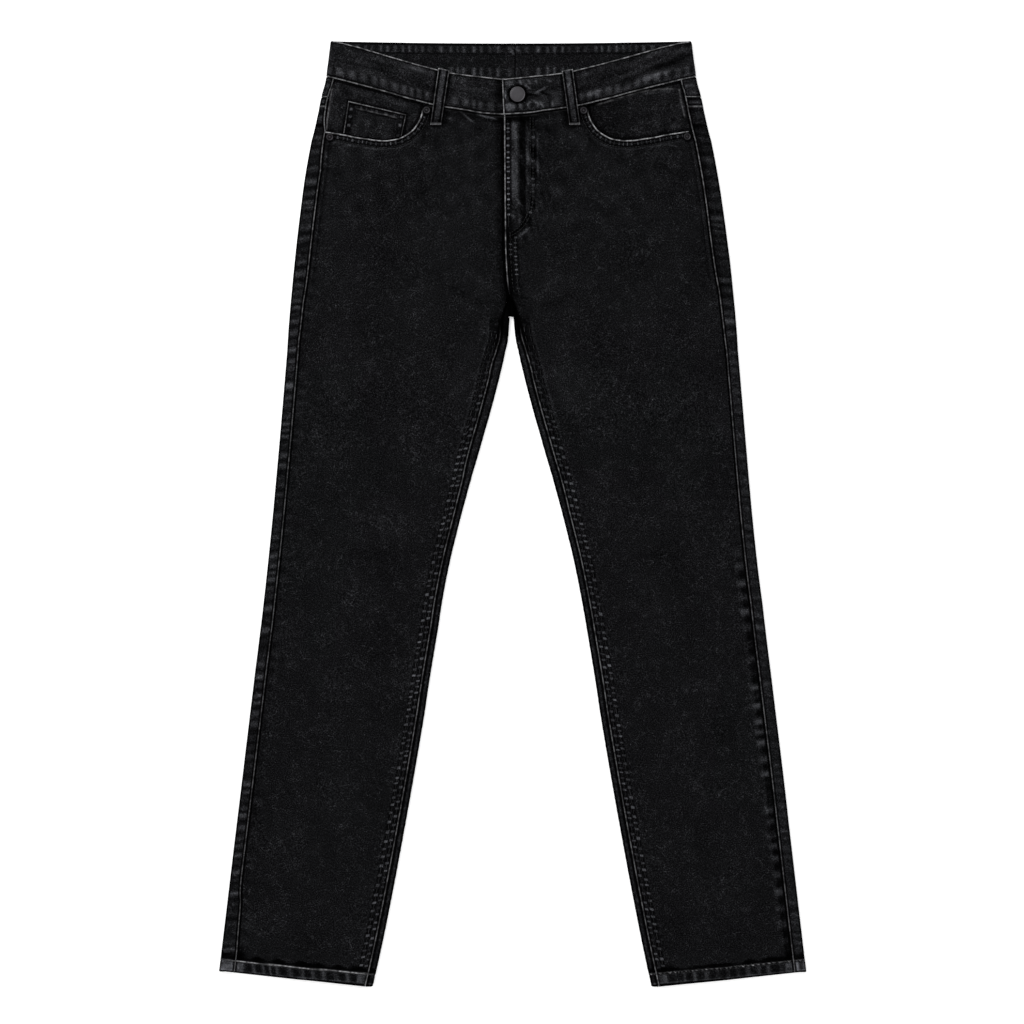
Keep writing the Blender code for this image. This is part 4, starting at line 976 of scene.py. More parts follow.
def pocket_facing(side):
    """Columns run from beside the fly to the outseam, rows from the waist seam down past the scoop."""
    sign = SIDES[side]
    shares = near_ends(105, [0, 0.4, 1.0, 1.7, 2.4, 3.1, 3.8, 4.5, 5.3, 6.2], 62)
    start = FRONT_MIDDLE + sign * POCKET_FACING_START
    end_top = waist_seam(sign * outseam_x(side, BAND_DEPTH)) + GAP
    fall = near_ends(55, [0, 0.4, 1.0, 2.0, 3.2], 40)[:, None]
    end = sign * (outseam_x(side, end_top + (POCKET_FACING_END - end_top) * fall) - SEAM_GAP)
    x = start + (end - start) * shares
    top = waist_seam(x) + GAP
    points = stacked(x, top + (POCKET_FACING_END - top) * fall, 0.0)
    points[..., 2] = facing_height(points[..., 0], points[..., 1])
    x, down, _ = points.reshape(-1, 3).T
    under = down - waist_seam(x)
    outer = outseam_x(side, down) - SEAM_GAP - np.abs(x)
    fold = creases(x, down, FACING_CREASES[side])
    # Painted shadow under the waistband's seam, under the scoop's edge and round the coin pocket, a dark line
    # by the outseam that is partly painted shade in its gap, and broad painted shade towards the middle of
    # the left facing.
    tone = 3.4 * fold + 0.3 * waves(x, down, 24.0, 201) + bands(under, (-2.8, -1, 2.2, 2.0))
    tone = tone - 0.8 * ease((150 - np.abs(x)) / 50) * (side == "left")
    tone = tone + bands(outer, (-2.8, -1, 1.6, 0.6))
    tone = tone + bands(nearest(x, down, scoop_line(side))[0], (-1.8, -1, 1.5, 3.5))
    if side == "right":
        patch = [*COIN_TOP, (COIN_FOOT_X[1], 108.0), (COIN_FOOT_X[0], 104.0)]
        tone = tone + bands(outside(x, down, patch), (-2.2, -9, 1.7, 1.2))
    wear = np.zeros(len(x))
    for line, strength in FACING_RIDGES[side]:
        off, along = nearest(x, down, line)
        fades = ease(along / 6) * ease((along.max() - along) / 6)
        wear = np.maximum(wear, strength * between(off, -1, 0.4, 0.6) * fades)
    relief = (fold + 0.15 * waves(x, down, 40.0, 203)) * ease(np.minimum(under, outer) / 3)
    cloth(
        "pocket_facing_" + side, FACING_DENIM, [points],
        plain(x, relief=relief, tone=tone, wear=wear), DENIM,
        flip=side == "right",
    )


def coin_pocket():
    """Rows run from the hemmed top to the scoop; x and down go evenly from corner to corner."""
    across = near_ends(COIN_WIDTH, [0, 0.25, 0.6, 1.0, 1.5, 2.2, 3.0, 3.8, 4.8, 5.8, 7.0, 8.4], 16)
    fall = near_ends(30, [0, 0.25, 0.6, 1.0, 1.5, 2.2, 3.0], 22)[:, None]
    top_x, top_down = (left + (right - left) * across for left, right in zip(*COIN_TOP))
    foot_x = COIN_FOOT_X[0] + (COIN_FOOT_X[1] - COIN_FOOT_X[0]) * across
    foot_down = curve(SCOOP, np.abs(foot_x - FRONT_MIDDLE)) - 1.2
    x = top_x + (foot_x - top_x) * fall
    down = top_down + (foot_down - top_down) * fall
    points = stacked(x, down, facing_height(x, down) + GAP + COIN_CLOTH)
    side_distance = (COIN_WIDTH * np.minimum(across, 1 - across) + 0 * fall).ravel()
    top_distance = ((foot_down - top_down) * fall).ravel()
    x, down = x.ravel(), down.ravel()
    beat, top_beat = beats(down, 8.2, 211), beats(x, 7.4, 213)
    on_side = side_distance < 9
    tone = 0.5 * waves(x, down, 16.0, 215)
    tone = tone + bands(side_distance, (-2.2, 1.2, 2.2, 0.5), (-1.3, 2.6, 7.4, 0.8))
    tone = tone + bands(top_distance, (-2.4, 1.2, 2.4, 0.5)) * (side_distance > 1)
    tone = tone + ~on_side * bands(
        top_distance, (-0.7, 2.0, 4.8, 0.6), (-2.0, 6.6, 7.8, 0.6), (0.2, 9, 30, 3)
    )
    wear = np.maximum(bands(side_distance, (0.28, -1, 0.6, 0.5)), bands(top_distance, (0.5, -1, 0.6, 0.5)))
    sewn = ~on_side * 0.34 * (0.3 + crests(top_beat, 214))
    relief = bands(np.abs(top_distance - 4.4), (-0.15, -1, 0.5, 0.6))
    looks = plain(
        x, tone=tone, wear=np.maximum(wear, sewn * between(top_distance, 5.3, 6.0, 0.5)),
        relief=relief + 0.15 * np.cos(2 * np.pi * beat) * on_side,
        row=np.where(on_side, np.abs(side_distance - 4.6), np.abs(top_distance - 3.8)),
        beat=np.where(on_side, beat, top_beat), gain=np.where(on_side, 0.95, 0.6),
    )
    cloth("coin_pocket", FACING_DENIM, [points], looks, COIN_CLOTH)


for side in SIDES:
    pocket_facing(side)
coin_pocket()

# Zip and fly facing -------------------------------------------------------------------------------
# The closed zip is woven black tape under the lapped front, and the fly facing is a J-shaped piece of the
# same denim over it. Both are hidden when the fly is closed, so their solids stay as they are.

TAPE_PITCH = 2400.0


def tape(name):
    """Woven tape: fine ribs across it, a little paler on their crests."""
    made, tree, sockets = finish(name, {"Roughness": 0.6})
    place = tree.nodes.new("ShaderNodeTexCoord").outputs["Object"]
    across = node(tree, "ShaderNodeSeparateXYZ", {0: place}).outputs[1]
    rib = maths(tree, "SINE", maths(tree, "MULTIPLY", across, TAPE_PITCH))
    share = maths(tree, "MULTIPLY_ADD", rib, 0.3, maths(tree, "ADD", noise(tree, place, 900.0, 2.0), 0.5))
    tree.links.new(scaled(tree, (0.008, 0.008, 0.009), share), sockets["Base Color"])
    bump(tree, sockets, rib, 0.4, 0.0002)
    return made


for name, material in (("zip", tape("zip_tape")), ("fly_facing", FACING_DENIM)):
    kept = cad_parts[name]
    for place in kept.material_slots:
        place.material = material

# Front panels -------------------------------------------------------------------------------------
# The fronts of the legs, of the same denim. The pocket mouths are scooped and sewn in two rows; the
# inseam is topstitched; the left front laps over the fly and has its J-shaped sewing.

FLY_WIDTH = 26.0
FLY_CURVE_FROM = 165.0
FLY_END = 203.0
FLY_TOE = 6.0
FLY_RISE = 1.4
FLY_SEWING = [
    (26.3, 84.0), (26.3, 124.0), (26.3, 164.0), (25.7, 178.0), (23.4, 190.0), (18.6, 201.0), (11.0, 210.0),
    (3.0, 215.6), (-3.0, 217.4),
]
FLY_MARGIN = 19.0
FLY_SLOPE = 10.0
LAPPED_PANEL_END = 20.0
LAPPED_PANEL_SLOPE = 11.0
LAPPED_PANEL_FADE = 16.0
SCOOP_RISE = 1.2
SCOOP_REACH = 10.0
SCOOP_SLOPE = 3.0
BAND_TOP = [
    (0, 42.0), (0.1, 39.9), (0.2, 37.8), (0.32, 34.6), (0.39, 31.4), (0.56, 22.6), (0.73, 13.0),
    (0.83, 7.2), (0.93, 2.2), (1, 0.6),
]
LOOP_WIDTH = 12.0
LOOP_END = 92.4
FRONT_LOOPS = {"belt_loop_front_right": (-74.5, -83.3), "belt_loop_front_left": (61.6, 69.6)}
RIVET_RADIUS = 4.4
RIVETS = {
    "rivet_right_inner": (-93.2, 76.2), "rivet_right_outer": (-199.0, 106.0),
    "rivet_left_inner": (79.4, 76.6), "rivet_left_outer": (192.8, 105.4),
}
OUT_OF_REACH = 99.0
# Distances of the rows of sewing from the inseam, the scoop, the J's line and the fly's edge: one row
# beside the zip, two below the J.
INSEAM_ROWS = (4.6, 10.0)
SCOOP_ROWS = (4.6, 8.2)
FLY_ROWS = (2.6, 5.8)
FLY_EDGE_ROW = 4.1
LOW_ROWS = (5.7, 11.2)
TONE_LIMITS = (-4.0, 3.0)
# The rows and columns of points: closer at the edges, and where the scoop is steep.
HEAD_END = 125.0
TOP_COLUMNS = np.concatenate([
    np.arange(11, 48, 1.4), [50, 54, 60, 67, 74, 80, 84.5],
    [88.0, 89.2, 90.0, 90.3, 90.8, 91.5, 92.3, 93.3, 94.4, 95.6, 97.0, 98.8, 101, 103.4],
    np.arange(106, 190, 2.6),
])
TOP_ROWS = np.array([0, 0.25, 0.6, 1.0, 1.5, 2.2, 3, 3.8, 4.6, 5.5, 6.6, 7.8, 9, 10.3, 11.6])
NEAR_INSEAM = np.array([0, 0.3, 0.8, 1.4, 2.1, 3.0, 3.9, 4.8, 5.9, 7.2, 8.4, 9.4, 10.4, 11.6, 13.4, 16])
NEAR_OUTSEAM = np.array([13, 9.8, 7.6, 6.0, 4.8, 3.8, 2.9, 2.1, 1.4, 0.8, 0.3, 0])
FLY_CREASES = [
    (18.6, 104, 19.2, 158, 1.5, 0.35), (29.6, 116, 28.4, 146, 1.5, 0.3), (4.6, 90, 5.0, 176, 4.0, 0.45),
    (12.0, 96, 12.6, 170, 2.0, -0.4), (24.0, 96, 24.2, 160, 1.6, -0.45), (3.4, 218, 20.5, 205, 1.0, 0.75),
    (-4, 190, 5, 194, 0.9, 0.55), (8, 203, 11, 188, 1.2, 0.5), (14, 186, 4, 172, 1.1, 0.35),
    (26, 158, 22, 166, 1.2, 0.3), (10, 179, 2, 184, 1.0, 0.3), (24, 190, 30, 182, 1.3, 0.2),
]
# Short creases under the waistband, where the cloth is eased into it.
BAND_PULLS = [
    (-57, 76, -38, 92, 1.1, 0.5), (-44, 78.5, -8, 87, 1.3, 0.55), (-75, 75, -62, 91, 1.2, 0.35),
    (30, 84, 24, 96, 1.2, 0.25), (54, 80, 50, 92, 1.3, 0.2), (70, 100, 78, 90, 1.3, 0.25),
    (-190, 117, -172, 113, 1.0, 0.35), (-193, 112, -180, 124, 1.0, 0.3), (184, 117, 168, 114, 1.0, 0.35),
    (-92, 92, -99, 118, 2.0, -0.2), (82, 92, 90, 116, 2.0, -0.2),
]
HIP_CREASES = {
    "right": [
        (-44, 82, -14, 92, 2.2, 0.35), (-50, 92, -20, 100, 2.5, -0.4), (-190, 118, -150, 113, 2.0, 0.4),
        (-186, 116, -178, 128, 1.5, 0.35), (-96, 150, -40, 186, 9.0, 0.4), (-60, 240, -12, 282, 5.0, 0.5),
        (-80, 262, -16, 296, 4.5, -0.5), (-198, 146, -186, 145, 1.6, -0.6), (-30, 300, -70, 420, 8.0, 0.35),
        (-170, 520, -110, 536, 7.0, 0.35), (-120, 556, -190, 572, 9.0, -0.35),
        (-230, 700, -170, 712, 8.0, 0.3),
    ],
    "left": [
        (86, 100, 74, 128, 3.0, 0.35), (70, 84, 48, 90, 3.0, 0.3), (186, 118, 140, 116, 2.0, 0.3),
        (30, 210, 90, 180, 9.0, 0.35), (14, 286, 70, 246, 5.0, 0.5), (20, 300, 84, 268, 4.5, -0.5),
        (36, 320, 78, 430, 8.0, 0.35), (110, 540, 180, 522, 7.0, 0.35), (190, 562, 118, 580, 9.0, -0.3),
        (240, 720, 180, 705, 8.0, 0.3),
    ],
}


def band_top(x):
    """Down at x along the front's top edge."""
    return band_down(BAND_TOP, x, band_side_x(0))


def off_loops(x, down):
    """How far a point is outside the nearest of the front belt loops, below 0 under it."""
    found = np.full(x.shape, OUT_OF_REACH)
    for top_x, end_x in FRONT_LOOPS.values():
        top = band_top(top_x)
        across = np.abs(x - top_x - (end_x - top_x) * (down - top) / (LOOP_END - top)) - LOOP_WIDTH / 2
        found = np.minimum(found, np.maximum(across, down - LOOP_END))
    return found


def moved_aside(line, distance):
    """A line of points moved sideways by a distance, square to its own direction."""
    away = stacked(-np.gradient(line[:, 1]), np.gradient(line[:, 0]))
    return line + distance * away / np.linalg.norm(away, axis=1, keepdims=True)


def fly_line(inset):
    """The sewing of the fly: straight down beside its edge, then round to the front, less the inset."""
    number = np.arange(len(FLY_SEWING))
    place = np.linspace(0, number[-1], 80)
    line = stacked(*(curve(stacked(number, column), place) for column in zip(*FLY_SEWING)))
    return moved_aside(line, inset)


def front_height(side, x, down, scoop_distance):
    """Height of the outer face of a front panel."""
    scoop = ease((SCOOP_REACH - scoop_distance) / SCOOP_SLOPE)
    height = upper_height(x, down) + SCOOP_RISE * scoop
    if side == "left":
        turn = np.clip((down - FLY_CURVE_FROM) / (FLY_END - FLY_CURVE_FROM), 0, 1)
        facing_edge = FLY_TOE + (FLY_WIDTH - FLY_TOE) * np.sqrt(1 - turn**2)
        facing = ease((facing_edge + FLY_MARGIN - x) / FLY_SLOPE)
        facing = facing * ease((FLY_END + FLY_MARGIN - down) / FLY_SLOPE)
        lap = ease((LAPPED_PANEL_END - x) / LAPPED_PANEL_SLOPE) * ease((CROTCH - down) / LAPPED_PANEL_FADE)
        height = height + (DENIM + GAP) * np.maximum(lap, facing) + FLY_RISE * facing
    return height


def on_front(side, x, down):
    """The outer face of a front panel at each point, with its looks and its wall's thickness.

    Tone, wear and relief are sums of bands by the distances from the panel's edges, seams and creases.
    """
    seed = 111 if side == "right" else 151
    scoop, along_scoop = np.full(len(x), OUT_OF_REACH), np.zeros(len(x))
    high = down < 140
    scoop[high], along_scoop[high] = nearest(x[high], down[high], scoop_line(side))
    height = front_height(side, x, down, scoop)
    inner = SIDES[side] * (x - front_inner_x(side, down))
    outer = outseam_x(side, down) - SEAM_GAP - np.abs(x)
    hem = hem_height(x, down)

    # The inseam: a worn edge, two rows of sewing in a dark band, and a pale ridge beyond them.
    in_leg = ease((down - 298) / 12)
    near_crotch = ease((520 - down) / 120)
    sewn = in_leg * ease((hem - 15.5) / 2.5) * (0.45 + 0.5 * ease((down - 330) / 110))
    far = np.where(in_leg > 0, 0.0, 50.0)
    slanted = down - 0.1 * inner
    second = 1.25 * sewn * (0.55 + 0.45 * ease((down - 400) / 60))
    # Rows of sewing: the distance from the row, the place along it, its pitch, its strength and a seed.
    sewing_rows = [
        (0.8 * np.abs(inner - INSEAM_ROWS[0]) + far, slanted, 7.6, 1.15 * sewn, 1),
        (0.8 * np.abs(inner - INSEAM_ROWS[1]) + far, slanted, 8.2, second, 2),
    ]
    tone = in_leg * bands(
        inner, (-1.35, 1.2, 12.4, 1.2), (-1.9, 1.1, 2.1, 0.4), (0.2 + 0.9 * near_crotch, 12.6, 13.6, 1.2)
    )
    relief = in_leg * bands(inner, (0.3, 12, 14, 2), (-0.15, 1, 11, 1.5))
    wear = bands(inner, (0.34 * ease((down - 312) / 30) + 0.3 * ease((15 - hem) / 2), -1, 0.7, 0.5))

    # The outseam: a dark line that is partly painted shade in the seam's gap, a ridge beside it, and puckers
    # where the seam allowance is sewn down.
    puckered = ease((down - 540) / 60) if side == "left" else 0.25
    ridge = ease((340 - down) / 120)
    crest = crests(beats(down - 0.2 * outer, 14.5, seed + 3), seed + 4, 1.4)
    tone += bands(
        outer, (-3.0, -2, 1.5, 0.6), (0.6 * ridge, 3.4, 4.6, 0.9), (-0.7 * ridge, 5.6, 7.2, 1.0),
        (puckered * 2.9 * crest, 3.2, 9.5, 1.6), (-puckered * 2.1 * (1 - crest) ** 2, 1.4, 6.6, 1.5),
    )
    relief += bands(outer, (0.35 * ridge, 3, 5, 1), (0.25 * puckered * crest, 2, 9, 2))

    # The pocket's mouth: a worn edge, a dark sewn band and a faint ridge beyond it.
    inside = between(along_scoop, 3, 200, 6)
    sewing_rows.append((np.abs(scoop - SCOOP_ROWS[0]), along_scoop, 5.4, 1.1 * inside, 5))
    tone += inside * bands(scoop, (-1.5, 1.4, 8.4, 1.0), (-1.6, 1.4, 2.6, 0.5))
    tone += bands(scoop, (1.3 * between(along_scoop, 36, 120, 16), 9.6, 10.6, 0.9))
    wear = np.maximum(wear, bands(scoop, (0.95 * ease((along_scoop - 5) / 5), -1, 1.15, 0.5)))
    relief += inside * bands(scoop, (0.25, 9, 11, 1.5), (-0.15, 2, 8, 1))

    # Under the waistband the cloth is in shadow, and its top edge is a little worn.
    under = down - waist_seam(x)
    along_band = np.abs(x - FRONT_MIDDLE) < 88
    by_fly = np.exp(-(((x + 4) / 34) ** 2))
    pulled = creases(x, down, BAND_PULLS)
    shadow = bands(under, (2.8, -1, 1.8, 1.2), (0.6 + 2.6 * by_fly, 2, 5, 7))
    tone += 6.0 * pulled - along_band * shadow * (1 - np.clip(2.4 * pulled, 0, 1))
    relief += pulled
    wear = np.maximum(wear, 0.03 * along_band * between(under, 2.2, 3.0, 0.5))
    # Painted shadows beside the belt loops and round the rivets.
    tone += high * bands(off_loops(x, down), (-2.4, -9, 1.6, 1.8))
    for rivet_x, rivet_down in RIVETS.values():
        tone += bands(np.hypot(x - rivet_x, down - rivet_down), (-2.4, -1, RIVET_RADIUS + 0.8, 1.2))

    if side == "left":
        # The fly: its free edge, the row beside it, the worn flat over the zip, and the J's two rows.
        over = ease((283 - down) / 8)
        worn = ease((275 - down) / 22) * (1 - 0.75 * between(down, 205, 212, 4))
        stop, low = between(down, 90, 192, 3), between(down, 212, 280, 8)
        j, along_j = np.full(len(x), OUT_OF_REACH), np.zeros(len(x))
        close = (down < 230) & (x < 60)
        j[close], along_j[close] = nearest(x[close], down[close], fly_line(FLY_ROWS[0]))
        second = (0.45 + 0.8 * between(down, 206, 254, 8)) * low
        sewing_rows += [
            (np.abs(inner - FLY_EDGE_ROW) + 30 * (1 - stop), down, 5.5, 1.5 * stop, 6),
            (j, along_j, 6.5, 0.85 * between(along_j, 20, 120, 12), 7),
            (np.abs(inner - LOW_ROWS[0]) + 30 * (1 - low), down, 5.4, 1.1 * between(down, 206, 234, 6), 8),
            (np.abs(inner - LOW_ROWS[1]) + 30 * (1 - low), down, 5.4, second, 9),
        ]
        wear = np.maximum(wear, bands(inner, (0.62 * worn, -1, 0.8, 0.5)))
        flat = (2.2 + 0.7 * waves(x, down, 11.0, 93)) * between(down, 92, 172, 10)
        ridge = (1.7 + waves(0 * x, down, 16.0, 94)) * between(down, 108, 160, 8)
        tone += bands(
            inner, (-2.4 * over, 1.2, 2.1, 0.4), (-1.4 * over, 2, 6.8, 0.8), (flat, 8.8, 14.8, 1.4),
            (-2.2 * between(down, 90, 200, 8), 17.4, 22.4, 1.5), (ridge, 24.6, 26.2, 0.8),
            (1.8 * between(down, 108, 150, 8), 36.6, 37.3, 0.9), (-1.2 * low, 3.6, 13.4, 1.2),
        )
        broken = 0.5 + 0.5 * np.clip(waves(x, down, 15.0, 95), -1, 1)
        dark = (-0.3 - 2.6 * broken) * between(along_j, 8, 140, 10)
        cloudy = 0.7 * between(down, 90, 230, 15) * waves(x * 1.6, down * 0.7, 13.0, 91)
        tone += bands(j, (dark, -1, 2.4, 1.4), (cloudy, -1, 14, 8))
        relief += creases(x, down, FLY_CREASES)
        tone += 8.0 * creases(x, down, FLY_CREASES[5:])
    else:
        # Beside the fly's edge the right front lies in its shadow.
        beside = ease((292 - down) / 12)
        tone += bands(curve(FLY_EDGE, down) - x, (-2.8 * beside, -9, 2.6, 1.4), (-1.1 * beside, 1, 5, 6))

    # Painted shade where the seams meet at the crotch and fainter painted shade round it, then the creases
    # and the uneven cloth all over.
    spread = 0.34 * np.clip(down - 274, 0, 60) + 1.5
    tone -= 4.0 * ease((spread - np.abs(x + 1)) / 3) * ease((down - 270) / 16) * ease((346 - down) / 30)
    tone -= 0.6 * ease((30 - np.hypot(x, down - 300)) / 22)
    fold = creases(x, down, HIP_CREASES[side])
    rough = waves(x, down, 95.0, seed + 30)
    relief += fold + 0.22 * rough + 0.1 * waves(x, down, 34.0, seed + 31)
    tone += 1.1 * fold + 0.16 * rough + 0.3 * waves(x, down, 22.0, seed + 32) * ease((240 - down) / 80)
    hem_relief, hem_tone, hem_wear = hem_looks(x, down, seed + 20)
    by_seams = between(inner, 2.4, 11, 1) + between(outer, 2, 9, 1)
    tone = np.where(hem < 16, 0.4 * tone, tone) + hem_tone + bands(hem, (3.0 * by_seams, 3, 12, 1.5))
    tone -= 4.2 * ease(1 - np.hypot((np.minimum(outer, 40) - 2) / 11, (hem - 19) / 9))
    tone -= 2.4 * ease(1 - np.hypot((inner - 16) / 12, (hem - 18) / 6))
    relief += hem_relief

    # The nearest row counts, and each row's stitches draw the cloth in between its crests.
    row, beat, gain = plain(x)[3:]
    for distance, along, pitch, strength, number in sewing_rows:
        own = beats(along, pitch, seed + number)
        closer = distance < row
        row[closer], beat[closer], gain[closer] = distance[closer], own[closer], (strength + 0 * own)[closer]
        relief += bands(distance, (strength * (0.12 * np.cos(2 * np.pi * own) - 0.14), -1, 0.6, 1.0))
    # Steady at the very edges, so that the seams stay shut.
    hold = ease(np.minimum(inner, outer) / 6 + 0.15) * ease(np.minimum(scoop, np.maximum(under, 0)) / 5 + 0.1)
    wall = DENIM + SCOOP_RISE * ease((SCOOP_REACH - scoop) / SCOOP_SLOPE)
    wall = wall + (HEM_CLOTH - DENIM) * hem_share(x, down)
    wear = np.clip(np.maximum(wear, hem_wear), 0, 1)
    return height, Looks(relief * hold, np.clip(tone, *TONE_LIMITS), wear, row, beat, gain), wall


def front_panel(side):
    """Top rows from the waist seam or the scoop, then straight rows to the hem; two grids of columns."""
    sign = SIDES[side]
    inner_top = front_inner_x(side, BAND_SEAM[0][1])
    outer_top = sign * (outseam_x(side, SCOOP[-1][1]) - SEAM_GAP)
    low = sign * (inner_top - FRONT_MIDDLE) + NEAR_INSEAM[-1]
    high = sign * (outer_top - FRONT_MIDDLE) - NEAR_OUTSEAM[0]
    shares = (TOP_COLUMNS[(TOP_COLUMNS > low + 1) & (TOP_COLUMNS < high - 1)] - low) / (high - low)
    first, last = len(NEAR_INSEAM), len(NEAR_INSEAM) + len(shares)

    def columns(inner_x, outer_x, middle):
        """x at fixed steps from both seams, and at shares of the way between them."""
        start, end = inner_x + sign * NEAR_INSEAM[-1], outer_x - sign * NEAR_OUTSEAM[0]
        parts = [inner_x + sign * NEAR_INSEAM, start + (end - start) * middle, outer_x - sign * NEAR_OUTSEAM]
        return np.concatenate(parts, axis=-1)

    top_x = columns(np.array([inner_top]), np.array([outer_top]), shares)
    from_middle = np.abs(top_x - FRONT_MIDDLE)
    top_down = np.where(from_middle > SCOOP[0][0], curve(SCOOP, from_middle), 0)
    top_down = np.maximum(top_down, waist_seam(top_x)) + GAP
    downs = [top_down + step for step in TOP_ROWS]
    downs += [downs[-1] + (HEAD_END - downs[-1]) * share for share in np.linspace(0, 1, 17)[1:]]
    downs += [np.full(len(top_x), down) for down in np.arange(HEAD_END + ROW_STEP, CROTCH - 1, ROW_STEP)]
    down = np.array(downs)
    hip_outer_x = sign * (outseam_x(side, down[:, -1:]) - SEAM_GAP)
    parts = [stacked(columns(front_inner_x(side, down[:, :1]), hip_outer_x, shares), down)]
    kept = np.arange(first, last, 4)
    keep = np.concatenate([np.arange(first), kept, np.arange(last, len(top_x))])
    outer_down, inner_down = (along[:, None] for along in leg_rows())
    inner_x = front_inner_x(side, inner_down)
    outer_x = sign * (outseam_x(side, outer_down) - SEAM_GAP)
    middle = shares[kept - first]
    hem_middle = finer(np.concatenate([[0], middle, [1]]))[1:-1]
    for rows, here in ((slice(0, -HEM_ROWS), middle), (slice(-HEM_ROWS, None), hem_middle)):
        x = columns(inner_x[rows], outer_x[rows], here)
        share = (x - inner_x[rows]) / (outer_x - inner_x)[rows]
        parts.append(stacked(x, inner_down[rows] + (outer_down - inner_down)[rows] * share))
    at_hem = first - 1 + HEM_FINER * np.arange(1, len(middle) + 2)
    at_hem = np.concatenate([np.arange(first), at_hem[:-1], at_hem[-1] + np.arange(len(NEAR_OUTSEAM))])
    at_leg = np.arange(len(keep))
    x, down = np.concatenate([part.reshape(-1, 2) for part in parts]).T
    height, looks, wall = on_front(side, x, down)
    ends = np.cumsum([part.size // 2 for part in parts])[:-1]
    grids = [
        found.reshape(*part.shape[:2], 3)
        for found, part in zip(np.split(stacked(x, down, height), ends), parts)
    ]
    cloth(
        "front_" + side, BLACK_DENIM, grids, looks, wall,
        [(keep, at_leg), (at_leg, at_hem)], flip=side == "right",
    )


for side in SIDES:
    front_panel(side)

# Waistband ----------------------------------------------------------------------------------------
# Two layers of the same denim with an interlining, 39 mm deep, in two halves that are sewn together at
# the centre back. The left half laps over the right one and has the buttonhole; both edges are sewn.

BAND_CLOTH = 2.6
BAND_CENTRE_BACK = 4.0
BAND_FOLD_HEIGHT = 6.6
BAND_FRONT_HEIGHT = BAND_CLOTH + GAP + BAND_CLOTH
LAP_RISE = BAND_CLOTH + GAP
LAP_END_TOP = -10.4
LAP_END_LOW = -8.8
LAP_FLAT_TO = 28.0
LAP_SLOPE_TO = 45.0
UNDER_END = 25.0
BACK_LOOPS = {
    "belt_loop_back_right": -125.0, "belt_loop_back_centre": BAND_CENTRE_BACK,
    "belt_loop_back_left": 125.0,
}
BUTTON_X = 6.6
BUTTON_DOWN = 59.2
BUTTONHOLE_END = 21.0
BAND_STEP = 1.3
# Rows at these distances from the top edge; the middle ones are close where the buttonhole is.
BAND_ROWS = np.array([
    0, 0.3, 0.7, 1.1, 1.6, 2.2, 3.0, 4.2, 5.8, 7.6, 9.6, 11.6, 13.2, 14.4, 15.2, 15.9, 16.5, 17.1, 17.8, 18.6,
    19.8, 21.6, 23.6, 25.6, 27.6, 29.6, 31.6, 33.6, 35.2, 36.4, 37.3, 38.0, 38.5, 38.9, 39.2, 39.5,
])
BUTTON_CREASES = [
    (20, 60.5, 41, 49, 1.1, 0.45), (19, 63.5, 36, 72, 1.1, 0.35), (13, 47, 23, 54.5, 1.1, 0.4),
    (17, 58.6, 32, 59.6, 0.9, -0.5), (8, 41, 12, 50, 1.2, 0.35), (17, 41, 22, 49, 1.1, 0.3),
    (8, 66.5, 12, 75.5, 1.2, 0.45), (21, 65, 17, 74.5, 1.1, 0.4), (31, 64, 35, 75, 1.2, 0.45),
    (44.5, 64, 46, 74, 1.2, 0.4), (-7.0, 51, -6.4, 67, 1.3, 0.6), (28, 54, 46, 61, 1.2, -0.35),
    (26, 42, 29, 49, 1.2, 0.25), (36, 41, 46, 46, 1.3, 0.25),
]
BAND_CREASES = {
    "right": [
        (-60, 48, -130, 26, 3.0, 0.35), (-70, 60, -150, 34, 3.5, -0.3), (-120, 50, -185, 30, 3.0, 0.35),
        (-20, 60, -66, 54, 3.0, 0.3), (-90, 36, -150, 16, 2.6, 0.25),
    ],
    "left": [
        (76, 62, 132, 42, 3.2, 0.4), (80, 48, 150, 24, 3.0, -0.3), (120, 48, 186, 28, 3.2, 0.4),
        (96, 40, 160, 18, 2.6, 0.3), (34, 52, 58, 62, 2.6, 0.25), (140, 43, 168, 36, 3.4, 0.8),
        (76, 62, 98, 54, 2.6, 0.7), (150, 30, 196, 17, 2.2, -0.5), (110, 45, 142, 36, 1.8, -0.45),
    ],
}
BAND_DENIM = denim("waistband_washed_denim", (0.0052, 0.0053, 0.0058), 1.0)


